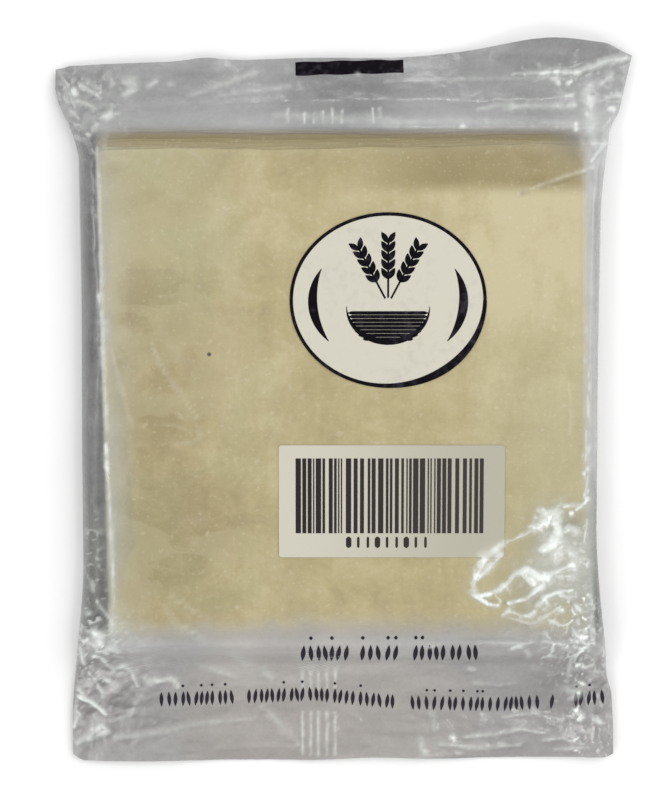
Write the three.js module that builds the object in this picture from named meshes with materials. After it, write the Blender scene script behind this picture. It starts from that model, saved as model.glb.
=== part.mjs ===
// A sealed clear pack of square rice paper sheets, lying on its back.
//
// The pack is a film tube wrapped round a flat stack of sheets. Its two edges are welded into a fin
// along the middle of the back, and both ends are pressed flat and welded. It is shut, so it is one
// solid out to the film: a flat block over the stack, slack rounded sides, slopes down to the two
// end seals, wavy seal edges with one curled corner, and the larger folds of the film.
//
// Millimetres. +X is to the right of the shown face, +Y towards the top seal, +Z up.
// The origin is on the surface that the pack lies on, under the middle of its outline.

import * as THREE from "three";
import { ParametricGeometry } from "three/addons/geometries/ParametricGeometry.js";
import { mergeVertices } from "three/addons/utils/BufferGeometryUtils.js";

// Film over the stack of sheets: its height, and how far the flat part of it reaches each way
const STACK_HEIGHT = 12.4;
const STACK_TOP_END = 85.2;
const STACK_BOTTOM_END = 78;

// Slope at the top end: the lower sheets have slipped out, and the film rests on them as a ledge
const SLIPPED_SHEETS_END = 91.5;
const SLIPPED_SHEETS_DROP = 0.45;
const LEDGE_WIDTH = 1;

// Slope at the bottom end: a steep part, its share of the whole drop, and a gentle part after it
const STEEP_PART_LENGTH = 9;
const STEEP_PART_SHARE = 0.55;
const GENTLE_PART_START = 4;

// End seals: where the welded flange starts, its height above the surface and its thickness
const TOP_SEAL_START = 101;
const BOTTOM_SEAL_START = 106;
const TOP_SEAL_HEIGHT = 4.6;
const BOTTOM_SEAL_HEIGHT = 3.0;
const FLANGE_THICKNESS = 0.9;
const LIP_LENGTH = 0.4;

// Outline: half widths at the waist and where the seal edges run. Each step from there grows to
// its size between a start and an end, which count from the middle of the pack.
const WAIST_LEFT = 86.4;
const WAIST_RIGHT = 84.2;
const TOP_EDGE = 114.3;
const TOP_EDGE_SLOPE = 0.034;
const BOTTOM_EDGE = 120.7;
const TOP_LEFT_EAR = { size: 7.6, start: 82, end: 109 };
const TOP_RIGHT_EAR = { size: 7.9, start: 60.5, end: 114 };
const TOP_RIGHT_EAR_CURVE = 1.5;
const TOP_RIGHT_EAR_STEP = { size: 1.9, start: 86, end: 96 };
const BOTTOM_LEFT_FLARE = { size: 4.8, start: 50, end: 112 };
const BOTTOM_RIGHT_FLARE = { size: 6.2, start: 40, end: 118 };
const BOTTOM_RIGHT_FLARE_STEP = { size: 1.0, start: 92, end: 100 };
const TOP_LEFT_CORNER = { size: 1.0, start: 88, end: 94 };
const TOP_RIGHT_CORNER = { size: 3.6, start: 84, end: 96 };
const BOTTOM_LEFT_CORNER = { size: 2.8, start: 87, end: 93 };
const BOTTOM_RIGHT_CORNER = { size: 1.8, start: 88, end: 93 };
const BOTTOM_EDGE_RISE = { size: 1.4, start: -20, end: 95 };

// Two places where the top seal's edge lifts off the surface and stands out: a curl and a ripple
const CURL = { middle: 66, width: 20, lift: 6.5, reach: 2.6 };
const RIPPLE = { middle: -45, width: 7, lift: 1.6, reach: 0.9 };

// Waves along the free edges of both seals
const TOP_WAVE = { height: 1.0, pitch: 11, phase: Math.PI / 2, level: -0.8 };
const BOTTOM_WAVE = { height: 1.1, pitch: 13, phase: 0.6, level: -0.6 };

// Slack sides: radius of the rounding beside the stack and on a flange, and where its edge runs
const SIDE_ROUND_LEFT = 6.8;
const SIDE_ROUND_RIGHT = 3.8;
const FLANGE_ROUND = 1.0;
const SIDE_EDGE_LEVEL = 0.45;

// Fin weld on the back: middle, width, and the groove beside each of its edges
const FIN_MIDDLE = -7.8;
const FIN_WIDTH = 11.4;
const FIN_GROOVE_DEPTH = 0.35;
const FIN_GROOVE_WIDTH = 1.2;

// The fin seen through the seals: height of its ridge, run of the ridge's flanks, and how quickly
// it fades on the way up to the stack
const FIN_RIDGE_HEIGHT = 0.5;
const FIN_RIDGE_FLANK = 1;
const FIN_RIDGE_FADE = 4;

// Mesh: rows of points along the pack, columns across each face, and points closer are joined
const ROWS = 46;
const COLUMNS = 50;
const EDGE_CROWDING = 0.72;
const JOIN_DISTANCE = 0.001;

// Larger folds of the shown face: the path of each ridge, its height and half its width
const FOLDS = [
  { path: [[-77, 97], [0, 102], [77, 107]], height: 0.9, width: 2.6 },
  { path: [[32, 92], [75, 91]], height: 1.0, width: 2.4 },
  { path: [[83, 85], [79, 78], [70, 74], [57, 70]], height: 0.9, width: 2.8 },
  { path: [[-88, 103], [-77, 95]], height: 1.1, width: 2.6 },
  { path: [[63, -37], [53, -46], [44, -62], [52, -66]], height: 1.1, width: 3.0 },
  { path: [[44, -64], [57, -55], [66, -55], [76, -51]], height: 1.0, width: 3.0 },
  { path: [[52, -68], [62, -70], [75, -60]], height: 0.9, width: 3.0 },
  { path: [[33, -111], [78, -114]], height: 0.7, width: 2.6 },
  { path: [[-81, -111], [-48, -115]], height: 0.7, width: 2.6 },
  { path: [[-88, -96], [-80, -104], [-66, -93]], height: 0.9, width: 2.8 },
  { path: [[-78, -113], [-34, -105]], height: 0.6, width: 2.6 },
];

const clamp = THREE.MathUtils.clamp;
const lerp = THREE.MathUtils.lerp;

// 0 before start, 1 after end, with an eased rise between them
function rise(start, end, value) {
  return THREE.MathUtils.smoothstep(value, start, end);
}

// How much of a step of the outline has been reached
function grown({ size, start, end }, value) {
  return size * rise(start, end, value);
}

// A bell of height 1 at middle
function bell({ middle, width }, value) {
  return Math.exp(-(((value - middle) / width) ** 2));
}

function wave({ height, pitch, phase, level }, x) {
  return level + height * Math.sin(x / pitch + phase);
}

// Outline of the film, seen from above

function leftEdge(y) {
  return -(WAIST_LEFT + grown(TOP_LEFT_EAR, y) + grown(BOTTOM_LEFT_FLARE, -y));
}

function rightEdge(y) {
  const { size, start, end } = TOP_RIGHT_EAR;
  const ear = size * clamp((y - start) / (end - start), 0, 1) ** TOP_RIGHT_EAR_CURVE;
  const flare = grown(BOTTOM_RIGHT_FLARE, -y) + grown(BOTTOM_RIGHT_FLARE_STEP, -y);
  return WAIST_RIGHT + ear + grown(TOP_RIGHT_EAR_STEP, y) + flare;
}

function topEdge(x) {
  const standing = CURL.reach * bell(CURL, x) + RIPPLE.reach * bell(RIPPLE, x);
  const corners = grown(TOP_RIGHT_CORNER, x) + grown(TOP_LEFT_CORNER, -x);
  return TOP_EDGE + TOP_EDGE_SLOPE * x + standing - corners;
}

function bottomEdge(x) {
  const corners = grown(BOTTOM_LEFT_CORNER, -x) + grown(BOTTOM_RIGHT_CORNER, x);
  return -BOTTOM_EDGE + grown(BOTTOM_EDGE_RISE, x) + corners;
}

// How far the film has come down from the stack, from 0 on it to 1 at an end seal
function descent(y) {
  if (y > 0) {
    const ledge = rise(STACK_TOP_END, SLIPPED_SHEETS_END - LEDGE_WIDTH, y);
    const slope = rise(SLIPPED_SHEETS_END - 2 * LEDGE_WIDTH, TOP_SEAL_START, y);
    return lerp(slope, ledge, SLIPPED_SHEETS_DROP);
  }
  const steep = rise(STACK_BOTTOM_END, STACK_BOTTOM_END + STEEP_PART_LENGTH, -y);
  const gentle = rise(STACK_BOTTOM_END + GENTLE_PART_START, BOTTOM_SEAL_START, -y);
  return lerp(gentle, steep, STEEP_PART_SHARE);
}

// How far the back film has risen from the surface, from 0 under the stack to 1 at an end seal
function ascent(y) {
  if (y > 0) {
    return rise(SLIPPED_SHEETS_END, TOP_SEAL_START, y);
  }
  return rise(STACK_BOTTOM_END + GENTLE_PART_START, BOTTOM_SEAL_START, -y);
}

// Height of the welded flanges: they ripple, and the top one curls up at its right
function sealHeight(x, y) {
  if (y > 0) {
    const out = clamp((y - TOP_SEAL_START) / (topEdge(x) - TOP_SEAL_START), 0, 1);
    const lifted = CURL.lift * bell(CURL, x) + RIPPLE.lift * bell(RIPPLE, x);
    return TOP_SEAL_HEIGHT + (lifted + wave(TOP_WAVE, x)) * out ** 2;
  }
  const out = clamp((-y - BOTTOM_SEAL_START) / (-bottomEdge(x) - BOTTOM_SEAL_START), 0, 1);
  return BOTTOM_SEAL_HEIGHT + wave(BOTTOM_WAVE, x) * out ** 2;
}

// Distance from a point to the segment between two others
function segmentDistance(x, y, [ax, ay], [bx, by]) {
  const along = ((x - ax) * (bx - ax) + (y - ay) * (by - ay)) / ((bx - ax) ** 2 + (by - ay) ** 2);
  const t = clamp(along, 0, 1);
  return Math.hypot(x - lerp(ax, bx, t), y - lerp(ay, by, t));
}

// Height that the folds add: a round-backed ridge along each path
function foldHeight(x, y) {
  let height = 0;
  for (const fold of FOLDS) {
    let nearest = Infinity;
    for (let i = 1; i < fold.path.length; i += 1) {
      nearest = Math.min(nearest, segmentDistance(x, y, fold.path[i - 1], fold.path[i]));
    }
    height += fold.height * bell({ middle: 0, width: fold.width }, nearest);
  }
  return height;
}

// The fin is welded flat to the back of each flange and shows there as a low raised strip
function finRidge(x) {
  const half = FIN_WIDTH / 2;
  return FIN_RIDGE_HEIGHT * (1 - rise(half, half + FIN_RIDGE_FLANK, Math.abs(x - FIN_MIDDLE)));
}

// Under the stack the fin lies flush, with a groove along each of its edges
function finGroove(x) {
  const offset = Math.abs(Math.abs(x - FIN_MIDDLE) - FIN_WIDTH / 2);
  return FIN_GROOVE_DEPTH * Math.max(0, 1 - offset / FIN_GROOVE_WIDTH);
}

function frontHeight(x, y) {
  const down = descent(y);
  const film = lerp(STACK_HEIGHT, sealHeight(x, y), down);
  return film + foldHeight(x, y) + finRidge(x) * down ** FIN_RIDGE_FADE;
}

function backHeight(x, y) {
  const up = ascent(y);
  return lerp(finGroove(x), sealHeight(x, y) - FLANGE_THICKNESS, up);
}

// From 0 at the side edge of the film to 1 where its rounding ends
function sideRounding(x, y) {
  const besideStack = x < 0 ? SIDE_ROUND_LEFT : SIDE_ROUND_RIGHT;
  const radius = lerp(besideStack, FLANGE_ROUND, descent(y));
  const inset = clamp(Math.min(x - leftEdge(y), rightEdge(y) - x) / radius, 0, 1);
  return Math.sqrt(1 - (1 - inset) ** 2);
}

// Points crowd towards both edges, where the film turns
function crowd(fraction) {
  return lerp(fraction, (1 - Math.cos(Math.PI * fraction)) / 2, EDGE_CROWDING);
}

// Columns across one face: crowded at the sides, with three more at each edge of the fin
function columnStations() {
  const stations = [];
  for (let i = 0; i <= COLUMNS; i += 1) {
    stations.push(crowd(i / COLUMNS));
  }
  const width = WAIST_LEFT + WAIST_RIGHT;
  for (const edge of [FIN_MIDDLE - FIN_WIDTH / 2, FIN_MIDDLE + FIN_WIDTH / 2]) {
    const station = (edge + WAIST_LEFT) / width;
    const step = FIN_GROOVE_WIDTH / width;
    stations.push(station - step, station, station + step);
  }
  return stations.sort((a, b) => a - b);
}

const columns = columnStations();
const slices = 2 * (columns.length - 1);
const stacks = ROWS + 2;

// One point of the closed skin. `around` runs across the shown face from left to right and back
// across the underside, and `along` runs from the bottom edge to the top edge. The first and last
// rows draw both faces together in a thin lip, which closes the ends.
function skinPoint(around, along, target) {
  const index = Math.round(around * slices);
  const isFront = index < columns.length;
  const across = isFront ? columns[index] : columns[slices - index];
  const row = Math.round(along * stacks);
  const isLip = row === 0 || row === stacks;
  const fraction = crowd(clamp(row - 1, 0, ROWS) / ROWS);

  const level = lerp(-BOTTOM_EDGE, TOP_EDGE, fraction);
  const x = lerp(leftEdge(level), rightEdge(level), across);
  const inset = isLip ? 0 : LIP_LENGTH;
  const y = lerp(bottomEdge(x) + inset, topEdge(x) - inset, fraction);

  const front = frontHeight(x, y);
  const back = backHeight(x, y);
  const edge = lerp(back, front, SIDE_EDGE_LEVEL);
  const face = isFront ? front : back;
  target.set(x, y, isLip ? edge : lerp(edge, face, sideRounding(x, level)));
}

// The skin as one closed mesh, stood on the surface with its outline centred on the origin
function packGeometry() {
  const grid = new ParametricGeometry(skinPoint, slices, stacks);
  grid.deleteAttribute("normal");
  grid.deleteAttribute("uv");
  const geometry = mergeVertices(grid, JOIN_DISTANCE);
  geometry.computeBoundingBox();
  const { min, max } = geometry.boundingBox;
  geometry.translate(-(min.x + max.x) / 2, -(min.y + max.y) / 2, -min.z);
  geometry.computeVertexNormals();
  return geometry;
}

const filmOverSheets = new THREE.MeshStandardMaterial({
  color: new THREE.Color(0.72, 0.68, 0.53),
  roughness: 0.35,
  metalness: 0,
});

const sealedPack = new THREE.Mesh(packGeometry(), filmOverSheets);
sealedPack.name = "sealed_pack";

const ricePaperPack = new THREE.Group();
ricePaperPack.add(sealedPack);

export default ricePaperPack;
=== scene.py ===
# %% [markdown]
# # A sealed clear pack of rice paper sheets
#
# The real thing is a flow-wrapped pack: a tube of clear film round a flat stack of square rice
# paper sheets, welded along the back and pressed flat and welded at both ends. It lies on its back
# and shows its printed face. The solid that carries the pack in the frame is one closed block. Here
# it is taken apart into what the eye sees: the front film, the back film, the fin weld, every sheet
# of the stack, and the print on the front film.

# %% Load the frame
import math
import bpy
import numpy as np
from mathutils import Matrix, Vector
from mathutils.bvhtree import BVHTree
from mathutils.geometry import delaunay_2d_cdt


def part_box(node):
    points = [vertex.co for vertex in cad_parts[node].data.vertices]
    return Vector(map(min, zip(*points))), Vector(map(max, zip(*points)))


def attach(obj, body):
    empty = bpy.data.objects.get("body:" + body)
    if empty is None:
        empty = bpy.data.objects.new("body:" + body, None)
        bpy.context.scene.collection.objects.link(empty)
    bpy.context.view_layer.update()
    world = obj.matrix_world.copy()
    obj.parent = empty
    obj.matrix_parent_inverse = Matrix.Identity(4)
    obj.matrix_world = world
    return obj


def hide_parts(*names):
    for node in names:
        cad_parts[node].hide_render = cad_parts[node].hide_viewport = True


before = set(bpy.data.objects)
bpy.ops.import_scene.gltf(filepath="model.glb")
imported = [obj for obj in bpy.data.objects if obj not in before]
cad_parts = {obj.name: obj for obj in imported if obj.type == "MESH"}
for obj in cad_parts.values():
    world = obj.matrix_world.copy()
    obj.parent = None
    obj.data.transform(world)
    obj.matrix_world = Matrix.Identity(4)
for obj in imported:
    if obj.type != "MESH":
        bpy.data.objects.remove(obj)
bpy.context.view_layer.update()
NODE = "sealed_pack"
MM = 0.001
pack_low, pack_high = (np.array(corner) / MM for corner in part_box(NODE))
print("pack box in mm:", pack_low.round(1), pack_high.round(1))

# %% [markdown]
# ## Camera
# The pack was looked at from nearly straight above, from about half a metre, leaning a little to
# its top end. A long lens at that distance keeps the gentle narrowing towards the bottom. The
# camera stands on a line through the middle of the picture, so its shift stays at zero.

# %% Set up the camera
VIEW_DISTANCE = 520
VIEW_LEAN = math.radians(4.5)
PICTURE_HEIGHT_PX = 800
MM_PER_PX = 0.33
SENSOR_MM = 36
aim = Vector((-6.3, 2.8, 6.0))


def place_camera():
    camera = bpy.data.objects.new("camera", bpy.data.cameras.new("camera"))
    away = Vector((0, math.sin(VIEW_LEAN), math.cos(VIEW_LEAN)))
    camera.location = (aim + away * VIEW_DISTANCE) * MM
    camera.rotation_euler = (-VIEW_LEAN, 0, 0)
    camera.data.sensor_width = SENSOR_MM
    camera.data.lens = SENSOR_MM * VIEW_DISTANCE / (PICTURE_HEIGHT_PX * MM_PER_PX)
    bpy.context.collection.objects.link(camera)
    bpy.context.scene.camera = camera
    return camera


camera = place_camera()
print("lens in mm:", round(camera.data.lens, 1))

# %% [markdown]
# ## Outline of the film
# Seen from above, the film is narrow round the stack and wider where it is pressed flat at the
# ends, because a tube that goes round something thick has less width left. Four edge curves say
# this with a few sizes each. Numpy arrays go through them, so one call places a whole grid.

# %% Edge curves
WAIST_LEFT, WAIST_RIGHT = 86.4, 84.2
TOP_EDGE, TOP_EDGE_SLOPE, BOTTOM_EDGE = 114.3, 0.034, 120.7
CURL_MIDDLE, CURL_WIDTH, CURL_LIFT, CURL_REACH = 66, 20, 6.5, 2.6
RIPPLE_MIDDLE, RIPPLE_WIDTH, RIPPLE_LIFT, RIPPLE_REACH = -45, 7, 1.6, 0.9
# Steps of the edges: how far each goes out or in, and where along the edge it starts and ends
TOP_LEFT_EAR, BOTTOM_LEFT_FLARE = (7.6, 82, 109), (4.8, 50, 112)
TOP_RIGHT_EAR, TOP_RIGHT_EAR_CURVE, TOP_RIGHT_EAR_STEP = (7.9, 60.5, 114), 1.5, (1.9, 86, 96)
BOTTOM_RIGHT_FLARE, BOTTOM_RIGHT_FLARE_STEP = (6.2, 40, 118), (1.0, 92, 100)
TOP_LEFT_CORNER, TOP_RIGHT_CORNER = (1.0, 88, 94), (3.6, 84, 96)
BOTTOM_LEFT_CORNER, BOTTOM_RIGHT_CORNER = (2.8, 87, 93), (1.8, 88, 93)
BOTTOM_EDGE_RISE = (1.4, -20, 95)


def rise(start, end, value):
    """0 before the start, 1 after the end, smooth between."""
    t = np.clip((value - start) / (end - start), 0, 1)
    return t * t * (3 - 2 * t)


def step(size, start, end, value):
    return size * rise(start, end, value)


def bell(value, middle, width):
    return np.exp(-(((value - middle) / width) ** 2))


def hump(size, middle, width, value):
    return size * bell(value, middle, width)


def lerp(a, b, t):
    return a + (b - a) * t


def left_edge(y):
    return -(WAIST_LEFT + step(*TOP_LEFT_EAR, y) + step(*BOTTOM_LEFT_FLARE, -y))


def right_edge(y):
    size, start, end = TOP_RIGHT_EAR
    ear = size * np.clip((y - start) / (end - start), 0, 1) ** TOP_RIGHT_EAR_CURVE
    ear = ear + step(*TOP_RIGHT_EAR_STEP, y)
    return WAIST_RIGHT + ear + step(*BOTTOM_RIGHT_FLARE, -y) + step(*BOTTOM_RIGHT_FLARE_STEP, -y)


def curl_and_ripple(x, curl, ripple):
    return hump(curl, CURL_MIDDLE, CURL_WIDTH, x) + hump(ripple, RIPPLE_MIDDLE, RIPPLE_WIDTH, x)


def top_edge(x):
    corners = step(*TOP_RIGHT_CORNER, x) + step(*TOP_LEFT_CORNER, -x)
    return TOP_EDGE + TOP_EDGE_SLOPE * x + curl_and_ripple(x, CURL_REACH, RIPPLE_REACH) - corners


def bottom_edge(x):
    corners = step(*BOTTOM_LEFT_CORNER, -x) + step(*BOTTOM_RIGHT_CORNER, x)
    return -BOTTOM_EDGE + step(*BOTTOM_EDGE_RISE, x) + corners


# The frame's solid is centred on its own box, so the curves are moved by the same small amount.
reach_x = np.array([left_edge(TOP_EDGE), right_edge(TOP_EDGE)])
reach_y = np.array([-BOTTOM_EDGE, top_edge(np.linspace(*reach_x, 400)).max()])
centring = (pack_low[:2] + pack_high[:2]) / 2 - [reach_x.mean(), reach_y.mean()]
print("outline moved by", centring.round(2), "mm to sit on the frame")

# %% [markdown]
# ## Height of the film
# The front film is level over the stack, steps down over the lower sheets, which have slipped
# towards the top end, and slopes to the welded ends. The back film lies on the table and rises to
# the same welds. The free edge of each weld ripples, and one corner of the top one has curled up.

# %% Base heights of both films
STACK_HEIGHT = 12.4
STACK_TOP_END, STACK_BOTTOM_END, SLIPPED_END = 85.2, 78, 91.5
SLIPPED_SHARE, SLOPE_SHARE = 0.45, 0.55
STEEP_LENGTH, STEEP_SHARE, GENTLE_START, GENTLE_SHARE = 9, 0.55, 4, 0.45
TOP_SEAL_START, BOTTOM_SEAL_START = 101, 106
TOP_SEAL_HEIGHT, BOTTOM_SEAL_HEIGHT = 4.15, 2.55
TOP_WAVE_PITCH, TOP_WAVE_DROP = 11, 0.8
LOW_WAVE_HEIGHT, LOW_WAVE_PITCH, LOW_WAVE_PHASE, LOW_WAVE_DROP = 1.1, 13, 0.6, 0.6
WELD_THICKNESS, BACK_CLEARANCE = 0.16, 0.42
SIDE_EDGE_LEVEL = 0.45
SIDE_ROUND_LEFT, SIDE_ROUND_RIGHT, FLANGE_ROUND = 6.8, 3.8, 1.0


def descent(y):
    """0 over the stack, 1 at the welds: how far the front film has come down."""
    ledge = SLIPPED_SHARE * rise(STACK_TOP_END, SLIPPED_END - 1, y)
    slope = SLOPE_SHARE * rise(SLIPPED_END - 2, TOP_SEAL_START, y)
    steep = STEEP_SHARE * rise(STACK_BOTTOM_END, STACK_BOTTOM_END + STEEP_LENGTH, -y)
    gentle = GENTLE_SHARE * rise(STACK_BOTTOM_END + GENTLE_START, BOTTOM_SEAL_START, -y)
    return np.where(y > 0, ledge + slope, steep + gentle)


def ascent(y):
    """0 under the stack, 1 at the welds: how far the back film has come up."""
    top = rise(SLIPPED_END, TOP_SEAL_START, y)
    return np.where(y > 0, top, rise(STACK_BOTTOM_END + GENTLE_START, BOTTOM_SEAL_START, -y))


def weld_share(out, start, edge):
    """0 where a weld starts, 1 at its free edge."""
    return np.clip((out - start) / (edge - start), 0, 1)


def seal_height(x, y):
    top_out = weld_share(y, TOP_SEAL_START, top_edge(x))
    low_out = weld_share(-y, BOTTOM_SEAL_START, -bottom_edge(x))
    lift = curl_and_ripple(x, CURL_LIFT, RIPPLE_LIFT) + (np.cos(x / TOP_WAVE_PITCH) - TOP_WAVE_DROP)
    wave = LOW_WAVE_HEIGHT * np.sin(x / LOW_WAVE_PITCH + LOW_WAVE_PHASE) - LOW_WAVE_DROP
    top, low = TOP_SEAL_HEIGHT + lift * top_out**2, BOTTOM_SEAL_HEIGHT + wave * low_out**2
    return np.where(y > 0, top, low)


def base_front(x, y):
    return lerp(STACK_HEIGHT, seal_height(x, y) + WELD_THICKNESS / 2, descent(y))


def base_back(x, y):
    return lerp(BACK_CLEARANCE, seal_height(x, y) - WELD_THICKNESS / 2, ascent(y))


def side_rounding(inset, x, y):
    """0 at the side edge of the film, 1 where a quarter round brings it to its full height."""
    beside_stack = np.where(x < 0, SIDE_ROUND_LEFT, SIDE_ROUND_RIGHT)
    radius = lerp(beside_stack, FLANGE_ROUND, descent(y))
    return np.sqrt(1 - (1 - np.clip(inset / radius, 0, 1)) ** 2)

# %% [markdown]
# ## Crinkles
# Stiff thin film can't stretch, so where it is crushed it breaks up into small flat facets with
# sharp edges. A random sheet of triangles does the same: scatter points, give each a random
# height, join them by Delaunay triangles, and read the height of the sheet under any point.
# Squeezing the pattern in one direction turns facets into long folds.

# %% Facet sheets
FIELD = 250
JITTER = 0.46


def facets(x, y, cell, stretch=1.0, turn=0.0, seed=0):
    """Height from -1 to 1 of a sheet of random triangles with points about `cell` mm apart."""
    rng = np.random.default_rng(seed)
    c, s = math.cos(turn), math.sin(turn)
    u, v = (c * x + s * y) / stretch, -s * x + c * y
    half_u, half_v = FIELD / 2 / stretch + 2 * cell, FIELD / 2 + 2 * cell
    gu, gv = np.meshgrid(np.arange(-half_u, half_u, cell), np.arange(-half_v, half_v, cell))
    jitter = rng.uniform(-JITTER, JITTER, (gu.size, 2)) * cell
    points = np.stack([gu.ravel(), gv.ravel()], 1) + jitter
    heights = rng.uniform(-1, 1, gu.size)
    corners, _, faces, origin, _, _ = delaunay_2d_cdt([Vector(p) for p in points], [], [], 0, 1e-6)
    raised = [(p.x, p.y, heights[o[0]]) for p, o in zip(corners, origin)]
    tree, above, down = BVHTree.FromPolygons(raised, faces), 5, Vector((0, 0, -1))
    hits = [tree.ray_cast(Vector((a, b, above)), down)[0] for a, b in zip(u.ravel(), v.ravel())]
    return np.array([hit.z if hit else 0.0 for hit in hits]).reshape(x.shape)
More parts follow.
